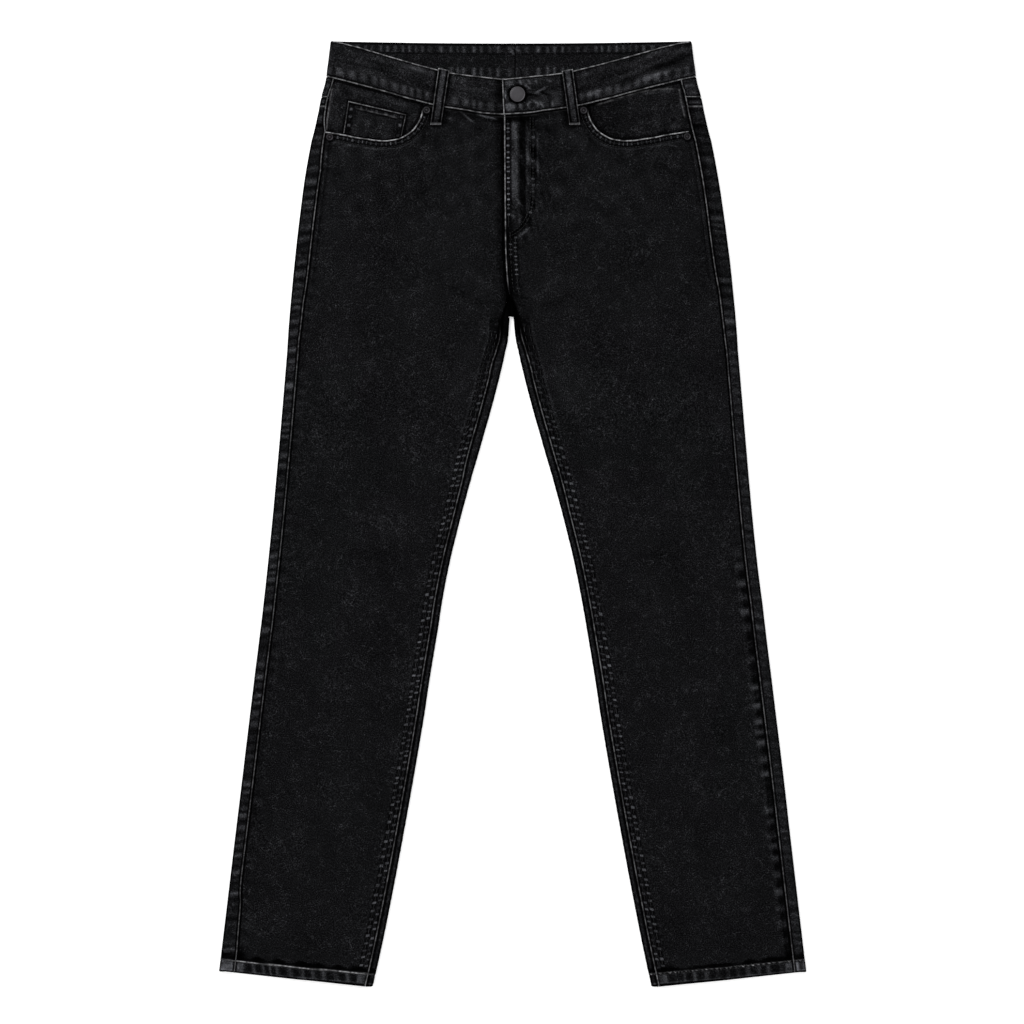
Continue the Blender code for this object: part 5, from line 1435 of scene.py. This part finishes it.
def waistband(side):
    """Stations run from the centre back, round half a circle at the side fold, to the front end."""
    sign = SIDES[side]
    radius = BAND_FOLD_HEIGHT / 2
    sides = np.array([band_side_x(0), band_side_x(BAND_DEPTH)])
    start = BAND_CENTRE_BACK + sign * GAP / 2
    run = near_ends(195, [0, 0.4, 0.9], int(195 / BAND_STEP))[:, None]
    back_x = start + (sign * (sides - radius) - start) * run
    back = stacked(back_x, back_band_top(back_x) + [0, BAND_DEPTH], 0.0)
    turn = np.radians(np.linspace(-90, 90, 13))[1:-1, None]
    fold_x = sign * (sides - radius * (1 - np.cos(turn)))
    fold = stacked(fold_x, [0, BAND_DEPTH], radius * (1 + np.sin(turn)))
    end = np.array([LAP_END_TOP, LAP_END_LOW]) if side == "left" else UNDER_END
    run = near_ends(200, [0, 0.3, 0.7, 1.2, 1.8], int(210 / BAND_STEP))[:, None]
    front_from = sign * (sides - radius)
    front_x = front_from + (end - front_from) * run
    settle = np.exp(-(((sides[0] - np.abs(front_x)) / EDGE_SOFTNESS) ** 2))
    height = BAND_FRONT_HEIGHT + (BAND_FOLD_HEIGHT - BAND_FRONT_HEIGHT) * settle
    if side == "left":
        height = height + LAP_RISE * ease((LAP_SLOPE_TO - front_x) / (LAP_SLOPE_TO - LAP_FLAT_TO))
    front = stacked(front_x, stacked(band_top(front_x[:, 0]), waist_seam(front_x[:, 1])), height)
    edges = np.concatenate([back, fold, front])
    share = (BAND_ROWS / BAND_DEPTH)[:, None, None]
    points = edges[None, :, 0] * (1 - share) + edges[None, :, 1] * share
    x, down, height = points.reshape(-1, 3).T
    depth = np.linalg.norm(edges[:, 1] - edges[:, 0], axis=-1)
    from_top, from_low = (depth * share[..., 0]).ravel(), (depth * (1 - share[..., 0])).ravel()
    station = np.tile(run_along(edges.mean(axis=1)), len(BAND_ROWS))
    from_end = station.max() - station
    ahead = ease((height - 3.4) / 1.2)
    seed = 301 if side == "right" else 351

    # The front: worn edges, puckers above the lower seam, and broad soft streaks.
    low_crest = crests(beats(x, 10.2, seed), seed + 1, 0.5, 0.75)
    high_crest = crests(beats(x - 0.3 * from_top, 12.0, seed + 2), seed + 3, 1.4)
    fold = creases(x, down, BAND_CREASES[side])
    streak = 0.35 + 0.7 * ease((np.abs(x) - 90) / 50) * (side == "left")
    pale = (3.2 if side == "right" else 2.7) * low_crest - 0.9
    tone = bands(from_low, (pale, 5, 12, 2.0), (-3.0, 1.1, 2.4, 0.4))
    tone = tone + bands(from_top, (0.9 * high_crest, 4, 8, 3), (-2.2, 1.2, 2.2, 0.4))
    tone = tone + 2.6 * fold + 0.35 * waves(station * 0.4, from_top * 1.3, 17.0, seed + 4)
    tone = tone + streak * waves(station * 0.14, from_top, 7.5, seed + 9)
    # Painted shadows beside the front belt loops.
    tone = tone + bands(off_loops(x, down), (-2.6, -9, 1.8, 2.2))
    wear = np.maximum(bands(from_low, (0.62, -1, 0.75, 0.5)), bands(from_top, (0.72, -1, 0.8, 0.5)))
    relief = fold + bands(from_low, (0.5 * low_crest, 4, 12, 3), (-0.3, 1.3, 2.3, 0.6))
    relief = relief + bands(from_top, (0.3 * high_crest, 3, 9, 3), (-0.3, 1.3, 2.3, 0.6))
    tone, wear, relief = tone * ahead, wear * ahead, relief * ahead

    # The back, whose inner face shows: ticks along both edges and the seam at the centre back.
    tick = 3.6 * crests(beats(x, 9.5, seed + 5), seed + 6, 2.0, 0.45) - 0.45
    seam = np.abs(x - BAND_CENTRE_BACK)
    seam_crest = 1.8 * crests(beats(down, 4.0, seed + 7), seed + 8)
    scuffed = 3.6 * np.exp(-(((x - 4) / 9) ** 2)) * np.clip(0.25 + waves(x, down * 2, 6.0, 361), 0, 1)
    back_tone = bands(from_low, (tick, 3.4, 12.0, 1.2)) - 0.1
    back_tone = back_tone + bands(seam, (-1.8, -1, 0.6, 0.5), (seam_crest, 1.2, 2.2, 0.5))
    back_tone = back_tone + bands(
        from_top, (tick, 3.8, 10.2, 1.2), (scuffed, 5, 12, 1.5), (-2.4, -1, 2.0, 1.0),
        (-1.2, 11.6, 12.6, 0.6), (-0.35, 12, 26, 2),
    )
    loop = np.min([np.abs(x - place) for place in BACK_LOOPS.values()], axis=0)
    recess = (1.5 * (1 - ease((loop - LOOP_WIDTH / 2 - 0.5) / 1.5))) * (height < ON_FLOOR)
    tone = tone + back_tone * (1 - ahead)
    relief = relief - recess

    if side == "left":
        # The lapped end, the button's shadow and buttonhole, and the creases that run out from them.
        wear = np.maximum(wear, ahead * between(from_end, -1, 0.8, 0.5) * 0.8)
        pulled = creases(x, down, BUTTON_CREASES) * ahead
        bump_high, bump_low = (
            ahead * np.exp(-((np.hypot(x - at_x, down - at_down) / radius) ** 4))
            for at_x, at_down, radius in ((-2.6, 46.5, 4.6), (-1.4, 73.0, 5.2))
        )
        raised = bump_low + 0.8 * bump_high
        slot = between(np.abs(down - BUTTON_DOWN), -1, 0.5, 0.6) * ahead
        slot = slot * between(x, BUTTON_X, BUTTONHOLE_END, 1.2)
        button = np.hypot(x - BUTTON_X, down - BUTTON_DOWN)
        tone = tone + ahead * (bands(from_end, (-2.8, 1.2, 2.3, 0.4)) + bands(button, (-3.4, 0, 10.2, 1.4)))
        # Painted shade in the buttonhole's slit, which is also pressed in.
        tone = tone + 10.0 * pulled + 3.1 * raised - 3.6 * slot
        relief = relief + pulled + 0.5 * raised - 1.7 * slot
    else:
        # Painted shadow on the right half beside and under the left half's lapped end.
        tone = tone - 2.6 * ease((x + 21) / 9) * ahead
    looks = plain(x, relief=relief, tone=np.clip(tone, *TONE_LIMITS), wear=np.clip(wear, 0, 1))
    cloth(
        "waistband_" + side, BAND_DENIM, [points], looks, BAND_CLOTH - recess,
        flip=side == "left",
    )


for side in SIDES:
    waistband(side)

# Belt loops ---------------------------------------------------------------------------------------
# Strips of the same denim, 12 mm wide, folded with their raw edges inside and sewn along both edges. The
# front ones go over the waistband and end in a bar tack on the front panel; the back ones lie flat.

LOOP_CLOTH = 1.6
LOOP_SLACK = 1.3
BACK_LOOP_CLOTH = 1.2
LOOP_STEPS = [3, 3, 5, 6, 12, 7, 6, 5, 4, 8]
LOOP_COLUMNS = np.array([
    0, 0.3, 0.7, 1.1, 1.6, 2.2, 2.9, 3.8, 4.9, 6.0, 7.1, 8.2, 9.1, 9.8, 10.4, 10.9, 11.3, 11.7, 12.0,
])


def loop_looks(x, down, across, from_top, from_foot, seed):
    """Worn long edges with a dark line of sewing inside each, a paler middle, and worn bars at the ends."""
    edge = np.minimum(across, LOOP_WIDTH - across)
    crest = crests(beats(down, 5.0, seed), seed + 1, 1.5)
    tone = bands(edge, (1.2 + 0.8 * ease((from_foot - 14) / 20), 4.0, 7, 1.0), (-3.2, 1.2, 2.6, 0.6))
    tone = tone + bands(from_foot, (-2.4, 1.4, 2.8, 0.5), (-1.8, 3.6, 6.0, 0.8))
    tone = tone + 0.6 * waves(x, down, 9.0, seed + 2)
    rubbed = 0.6 + 0.4 * np.clip(waves(x, down, 12.0, seed + 3), -1, 1)
    corner = np.hypot(edge, np.minimum(from_foot, np.abs(from_top)) - 0.5)
    wear = np.maximum.reduce([
        bands(edge, (0.10 + 0.36 * ease((from_foot - 10) / 16) * rubbed, -1, 0.6, 0.45)),
        bands(from_foot, (0.4, -1, 0.8, 0.5)), bands(from_top, (0.4, -1, 0.7, 0.5)),
        bands(corner, (0.9, -1, 0.9, 0.5)),
    ])
    relief = bands(edge, (-0.25, 1.3, 2.2, 0.6), (0.12 * crest, 2, 7, 1))
    return plain(x, relief=relief, tone=tone, wear=wear)


def front_loop(name, top_x, end_x):
    """Rows follow a smooth line over the waistband's top edge, down its face and onto the panel."""
    side = "right" if top_x < FRONT_MIDDLE else "left"
    edges = np.array([-LOOP_WIDTH / 2, LOOP_WIDTH / 2])
    on_band = BAND_FRONT_HEIGHT + GAP + LOOP_CLOTH
    seams = waist_seam(end_x + edges)
    end = np.repeat(end_x + edges, 5)
    along = np.tile(np.linspace(seams.max() + 6, LOOP_END, 5), 2)
    scoop = nearest(end, along, scoop_line(side))[0]
    on_panel = front_height(side, end, along, scoop).max() + GAP + LOOP_CLOTH
    parts = [np.linspace(k, k + 1, count, endpoint=False) for k, count in enumerate(LOOP_STEPS[:-1])]
    steps = np.concatenate([*parts, np.linspace(len(parts), len(LOOP_STEPS), LOOP_STEPS[-1])])
    columns = []
    for edge, seam in zip(edges, seams):
        top = float(band_top(top_x + edge))
        profile = np.array([
            (top - GAP - LOOP_CLOTH, BAND_FRONT_HEIGHT - 1.6), (top - GAP - LOOP_CLOTH, on_band - 0.9),
            (top - GAP - 0.7, on_band), (top + 5, on_band), (top + 13, on_band + LOOP_SLACK),
            (seam - 13, on_band + LOOP_SLACK), (seam - 4, on_band + 0.2), (seam + 2, on_band),
            (seam + 6.5, on_panel + 0.2), (seam + 10, on_panel), (LOOP_END, on_panel),
        ])
        down, height = (curve(stacked(np.arange(len(profile)), column), steps) for column in profile.T)
        lean = (end_x - top_x) * (down - top) / (LOOP_END - top)
        columns.append(stacked(top_x + edge + lean, down, height))
    across = LOOP_COLUMNS[:, None] / LOOP_WIDTH
    points = columns[0][:, None] * (1 - across) + columns[1][:, None] * across
    x, down, _ = points.reshape(-1, 3).T
    from_top = (points[..., 1] - points[4:5, :, 1]).ravel()
    across = np.tile(LOOP_COLUMNS, len(points))
    looks = loop_looks(x, down, across, from_top, LOOP_END - down, 401 if side == "right" else 411)
    cloth(name, BAND_DENIM, [points], looks, LOOP_CLOTH)


def back_loop(name, middle):
    """A flat strip, level with the waistband's underside: x across it, down along it."""
    top = float(back_band_top(np.array(middle))) + 0.4
    length = BAND_DEPTH - 0.8
    fall = near_ends(length, [0, 0.4, 1.0, 1.8, 2.8], 20)[:, None]
    points = stacked(middle + (LOOP_COLUMNS - LOOP_WIDTH / 2), top + length * fall, 0.0)
    x, down, _ = points.reshape(-1, 3).T
    across = np.tile(LOOP_COLUMNS, len(fall))
    looks = loop_looks(x, down, across, down - top, top + length - down, 421)
    cloth(name, BAND_DENIM, [points], looks, BACK_LOOP_CLOTH, flip=True)


for name, (top_x, end_x) in FRONT_LOOPS.items():
    front_loop(name, top_x, end_x)
for name, middle in BACK_LOOPS.items():
    back_loop(name, middle)

# Sewing -------------------------------------------------------------------------------------------
# Rows of black polyester thread, about three stitches to the centimetre, that join the pieces of cloth
# and hold their turned edges down. Each stitch is pulled a little into the cloth.

STITCH = 3.1
STITCH_GAP = 0.5
BEATEN_GAP = 0.42
THREAD_RADIUS = 0.27
BACK_SEAM_ROWS = (3.0, 8.6)
YOKE_ROWS = (2.4, 8.0)
YOKE_HALF = 232.0
BAND_EDGE_ROW = 2.2
POCKET_HALF = 62.0
RING = np.radians(np.arange(5) * 72.0)
RING_SIZES = np.array([0.5, 1.0, 1.0, 0.5])
RING_PLACES = np.array([0.0, 0.25, 0.75, 1.0])


def thread_material():
    """Black thread: its colour by each stitch's own tone and a fine grain."""
    made, tree, sockets = finish("black_thread", {"Roughness": 0.6, "Specular IOR Level": 0.15})
    place = tree.nodes.new("ShaderNodeTexCoord").outputs["Object"]
    tone = summed(tree, read(tree, "tone"), (uneven(tree, place, 1600.0, 1.0), 2.0))
    colour = scaled(tree, (0.0075, 0.0076, 0.0082), maths(tree, "POWER", 2.0, tone))
    tree.links.new(colour, sockets["Base Color"])
    return made


THREAD = thread_material()


def sewing(name, rows, seed):
    """One mesh of all the stitches of some rows.

    A row is its points in millimetres, 1 where it is seen from above or -1 from below, and the count of
    the cloth's crests at its points, or nothing. Each stitch is a tube of four rings along the row, low
    and thin at its ends. It lies between two crests, or else the stitches are even.
    """
    rings, tones = [], []
    draw = np.random.default_rng(seed)
    for line, upwards, beat in rows:
        run = run_along(line)
        if beat is None:
            edges = np.linspace(0, run[-1], max(int(run[-1] / STITCH), 1) + 1)
        else:
            edges = np.interp(np.arange(np.ceil(beat[0]), beat[-1]), beat, run)
        gap = STITCH_GAP / STITCH if beat is None else BEATEN_GAP
        at = edges[:-1, None] + np.diff(edges)[:, None] * (gap / 2 + (1 - gap) * RING_PLACES)
        middle = stacked(*(np.interp(at, run, column) for column in line.T))
        tangent = middle[:, -1:] - middle[:, :1]
        tangent /= np.linalg.norm(tangent, axis=-1, keepdims=True)
        up = np.array([0, 0, 1.0]) * upwards
        side = np.cross(tangent, up)
        side /= np.linalg.norm(side, axis=-1, keepdims=True)
        raised = middle + up * (THREAD_RADIUS * (2.4 * RING_SIZES - 1.5))[None, :, None]
        radius = (THREAD_RADIUS * RING_SIZES)[None, :, None, None]
        around = np.cos(RING)[:, None] * side[:, :, None] + np.sin(RING)[:, None] * up
        rings.append(raised[:, :, None] + radius * around)
        tones.append(np.repeat(draw.uniform(-0.8, 1.6, len(at)) ** 3 * 0.5, RING_PLACES.size * RING.size))
    rings = np.concatenate(rings)
    total, _, sides, _ = rings.shape
    number = np.arange(rings[..., 0].size).reshape(rings.shape[:3])
    after = np.roll(number, -1, axis=2)
    quads = stacked(number[:, :-1], number[:, 1:], after[:, 1:], after[:, :-1]).reshape(-1, 4)
    world = to_world(rings.reshape(-1, 3))
    loops = np.concatenate([quads.ravel(), number[:, 0].ravel(), number[:, -1, ::-1].ravel()])
    sizes = np.concatenate([np.full(len(quads), 4), np.full(2 * total, sides)])
    centre = world[number[0]].mean(axis=(0, 1))
    p, q, r = world[quads[0, :3]]
    if np.cross(q - p, r - p) @ (p - centre) < 0:
        loops, sizes = loops[::-1], sizes[::-1]
    world[:, 2] = np.maximum(world[:, 2], 0)
    mesh = faces_mesh(name, world, loops, sizes)
    attribute(mesh, "tone", np.concatenate(tones))
    put(name, mesh, THREAD, [])


def front_row(side, x, down, beaten=True):
    """A row of sewing on a front panel's outer face, with the cloth's crests where it is beaten."""
    height, looks, _ = on_front(side, x, down)
    return stacked(x, down, height + looks.relief), 1.0, looks.beat if beaten else None


def fly_row(distance, from_down):
    """A row beside the fly's edge, down to the crotch."""
    down = np.arange(from_down, 280.0, 1.5)
    return front_row("left", front_inner_x("left", down) + distance(down), down)


for side, sign in SIDES.items():
    down = np.arange(312.0, 1024.0, 1.5)
    rows = [front_row(side, front_inner_x(side, down) + sign * distance, down) for distance in INSEAM_ROWS]
    inner_x, outer_x = front_inner_x(side, 1028.0), sign * outseam_x(side, 1011.0)
    x = np.linspace(inner_x + sign * 1.5, outer_x - sign * 1.5, 120)
    rows.append(front_row(side, x, hem_height(x, 0.0) - 12.0, False))
    for distance in SCOOP_ROWS:
        x, down = moved_aside(scoop_line(side), sign * distance).T
        seen = (np.abs(x) < outseam_x(side, down) - 1.5) & (down > waist_seam(x) + 2)
        rows.append(front_row(side, x[seen], down[seen], distance == SCOOP_ROWS[0]))
    if side == "left":
        steps_out = LOW_ROWS[0] - FLY_EDGE_ROW
        rows.append(fly_row(lambda down: FLY_EDGE_ROW + steps_out * ease((down - 204) / 8), 86.0))
        rows.append(fly_row(lambda down: LOW_ROWS[1], 216.0))
        for inset in FLY_ROWS:
            line = fly_line(inset)
            run = run_along(line)
            x, down = (np.interp(np.linspace(0, run[-1], 120), run, column) for column in line.T)
            rows.append(front_row("left", x, down, False))
    sewing("sewing_front_" + side, rows, 501)

rows = []
for side, sign in SIDES.items():
    x = sign * np.linspace(6, 190, 120)
    yoke_down = YOKE_SIDE_DOWN + YOKE_FALL * (1 - np.abs(x) / YOKE_HALF)
    rows += [stacked(x, yoke_down + distance, 0.0) for distance in YOKE_ROWS]
    down = np.linspace(110, 296, 100)
    rows += [stacked(sign * distance + centre_back(down), down, 0.0) for distance in BACK_SEAM_ROWS]
    corners = np.array(BACK_POCKET, float)
    middle = corners.mean(axis=0)
    for inset in POCKET_ROWS:
        ring = middle + (corners - middle) * (1 - inset / POCKET_HALF)
        ring = ring[[1, 2, 3, 4, 0]] * [sign, 1]
        rows.append(stacked(*ring.T, 0.0))
    x = sign * BACK_SEAM_ROWS[1] + centre_back(down)
    top = back_band_top(x)
    for distance in (BAND_EDGE_ROW, BAND_DEPTH - BAND_EDGE_ROW):
        clear = np.min([np.abs(x - place) for place in BACK_LOOPS.values()], axis=0) > 8
        for part in np.split(np.arange(len(x)), np.flatnonzero(np.diff(clear.astype(int))) + 1):
            if clear[part[0]] and len(part) > 2:
                rows.append(stacked(x[part], top[part] + distance, 0.0))
sewing("sewing_back", [(row, -1.0, None) for row in rows], 511)

# Button -------------------------------------------------------------------------------------------
# A tack button of pressed brass with a dark gunmetal plating: a nearly flat cap with a shallow groove by
# its rolled rim, on a shank through the buttonhole and a nail in the lower waistband.

BUTTON_RADIUS = 8.5
BUTTON_BASE = BAND_FRONT_HEIGHT + LAP_RISE + GAP


def gunmetal(name, colour, rough):
    """Plated metal: faint clouds of tarnish, fine scratches in the roughness, slightly worn grain, and the
    painted highlight and shade of each piece's tone.
    """
    made, tree, sockets = finish(name, {"Metallic": 1.0})
    place = tree.nodes.new("ShaderNodeTexCoord").outputs["Object"]
    clouds = noise(tree, place, 420.0, 3.0, 0.6)
    grain = noise(tree, place, 2600.0, 2.0)
    share = maths(tree, "MULTIPLY_ADD", clouds, 0.5, maths(tree, "MULTIPLY_ADD", grain, 0.4, 0.55))
    share = maths(tree, "MULTIPLY", share, maths(tree, "POWER", 2.0, read(tree, "tone")))
    tree.links.new(scaled(tree, colour, share), sockets["Base Color"])
    tree.links.new(maths(tree, "MULTIPLY_ADD", grain, 0.25, rough), sockets["Roughness"])
    bump(tree, sockets, grain, 0.25, 0.00008)
    return made


GUNMETAL = gunmetal("gunmetal", (0.054, 0.052, 0.056), 0.34)


def turned(name, base, profile, x, down, material):
    """A turned piece: its profile, (radius, height, tone) down its side, carried round a full turn."""
    profile = np.array(profile, float) + [0, base, 0]
    steps = 64
    turn = 2 * np.pi * np.arange(steps) / steps
    ring = profile[1:-1]
    radius, height, tone = ring.T[..., None]
    points = stacked(x + radius * np.cos(turn), down + radius * np.sin(turn), height).reshape(-1, 3)
    points = np.concatenate([points, [(x, down, profile[0, 1]), (x, down, profile[-1, 1])]])
    number = np.arange(len(ring) * steps).reshape(len(ring), steps)
    after = np.roll(number, -1, axis=1)
    quads = stacked(number[:-1], after[:-1], after[1:], number[1:]).reshape(-1, 4)
    cap = stacked(number.size, after[0], number[0])
    foot = stacked(number.size + 1, number[-1], after[-1])
    loops = np.concatenate([quads.ravel(), cap.ravel(), foot.ravel()])
    sizes = np.concatenate([np.full(len(quads), 4), np.full(2 * steps, 3)])
    mesh = faces_mesh(name, to_world(points), loops, sizes)
    attribute(mesh, "tone", np.concatenate([np.repeat(tone, steps), profile[[0, -1], 2]]))
    put(name + "_metal", mesh, material, [name])


# The third column paints a highlight on the rolled rim and painted shade in the groove, down the side and
# underneath.
button_profile = [
    (0, 2.42, 0.1), (3.5, 2.42, 0.1), (6.3, 2.40, 0), (6.9, 2.36, 0), (7.1, 2.28, -0.35), (7.3, 2.26, -0.35),
    (7.5, 2.34, 0.2), (7.8, 2.44, 0.45), (8.1, 2.34, 0.3), (8.35, 2.1, -0.5), (BUTTON_RADIUS, 1.7, -1.5),
    (BUTTON_RADIUS, 0.9, -2), (8.35, 0.4, -2), (7.9, 0.05, -2), (3.3, 0, -2), (3.2, -0.2, -1),
    (3.2, -LAP_RISE, -1), (1.1, -LAP_RISE - 0.05, -1), (1.0, -LAP_RISE - 0.3, -1),
    (1.0, 3.45 - BUTTON_BASE, -1), (0, 3.4 - BUTTON_BASE, -1),
]
turned("button", BUTTON_BASE, button_profile, BUTTON_X, BUTTON_DOWN, GUNMETAL)

# Rivets -------------------------------------------------------------------------------------------
# Dark plated copper rivets at the corners of the pocket mouths: a rolled rim, a sunk ring and the end of
# the post in the middle, which goes down through the cloth.

DARK_GUNMETAL = gunmetal("dark_gunmetal", (0.022, 0.021, 0.023), 0.38)
# The third column paints highlights on the post's end and the rim's crest, and painted shade in the sunk
# ring, down the side and underneath.
rivet_profile = [
    (0, 1.3, 0.3), (0.7, 1.26, 0.3), (1.15, 1.1, 0.1), (1.45, 0.72, -1.6), (1.8, 0.62, -2.0),
    (2.2, 0.66, -1.2), (2.6, 0.82, 0), (3.0, 1.1, 0.5), (3.3, 1.2, 0.3), (3.7, 1.05, -1.2), (4.1, 0.7, -2.2),
    (RIVET_RADIUS, 0.3, -3), (RIVET_RADIUS, 0.02, -3), (1.2, 0, -3), (1.1, -0.1, -2), (1.1, -1.25, -2),
    (0, -1.3, -2),
]
turn = np.radians(np.arange(12) * 30.0)
for name, (x, down) in RIVETS.items():
    side = "right" if x < 0 else "left"
    rim_x, rim_down = x + RIVET_RADIUS * np.cos(turn), down + RIVET_RADIUS * np.sin(turn)
    seat = front_height(side, rim_x, rim_down, nearest(rim_x, rim_down, scoop_line(side))[0]).max() + GAP
    turned(name, seat, rivet_profile, x, down, DARK_GUNMETAL)

# Studio -------------------------------------------------------------------------------------------
# A pale floor, a soft key light from the upper left and even light all round. The camera looks straight
# down, and its view is 1126 mm wide, as the photo's is.

PHOTO_WIDTH = 1126.4
CAMERA_HEIGHT = 4.0
SENSOR = 36.0
PHOTO_CENTRE = (0.55, 1.9)
FLOOR_HALF = 12
FLOOR_DROP = 0.3
PAPER_GLOW = 0.35
SKY_STRENGTH = 0.85
WHITE = (1, 1, 1, 1)

floor_mesh = bpy.data.meshes.new("floor")
corners = [(FLOOR_HALF * x, FLOOR_HALF * y, 0) for x, y in ((-1, -1), (1, -1), (1, 1), (-1, 1))]
floor_mesh.from_pydata(corners, [], [(0, 1, 2, 3)])
floor = bpy.data.objects.new("floor", floor_mesh)
bpy.context.scene.collection.objects.link(floor)
paper, _, _ = finish("paper", {
    "Base Color": (0.9, 0.9, 0.9, 1), "Roughness": 1.0, "Specular IOR Level": 0.0,
    "Emission Color": WHITE, "Emission Strength": PAPER_GLOW,
})
floor_mesh.materials.append(paper)
floor.location.z = -FLOOR_DROP * MM

world = bpy.data.worlds.new("studio")
bpy.context.scene.world = world
world.use_nodes = True
sky = world.node_tree.nodes["Background"].inputs
sky["Color"].default_value = WHITE
sky["Strength"].default_value = SKY_STRENGTH
lamps = [("key", (-1.6, 1.7, 2.2), 1.2, 60.0), ("fill", (2.2, -0.6, 2.6), 2.0, 14.0)]
for name, place, size, power in lamps:
    light = bpy.data.lights.new(name, "AREA")
    light.size = size
    light.energy = power
    lamp = bpy.data.objects.new(name, light)
    lamp.location = place
    aim = -np.array(place) / np.linalg.norm(place)
    lamp.rotation_mode = "QUATERNION"
    lamp.rotation_quaternion = Vector(aim).to_track_quat("-Z", "Y")
    bpy.context.scene.collection.objects.link(lamp)

lens = bpy.data.cameras.new("camera")
lens.sensor_width = SENSOR
lens.lens = SENSOR * CAMERA_HEIGHT / (PHOTO_WIDTH * MM)
camera = bpy.data.objects.new("camera", lens)
camera.location = (PHOTO_CENTRE[0] * MM, PHOTO_CENTRE[1] * MM, CAMERA_HEIGHT + 0.004)
bpy.context.scene.collection.objects.link(camera)
bpy.context.scene.camera = camera
bpy.context.scene.view_settings.view_transform = "Standard"
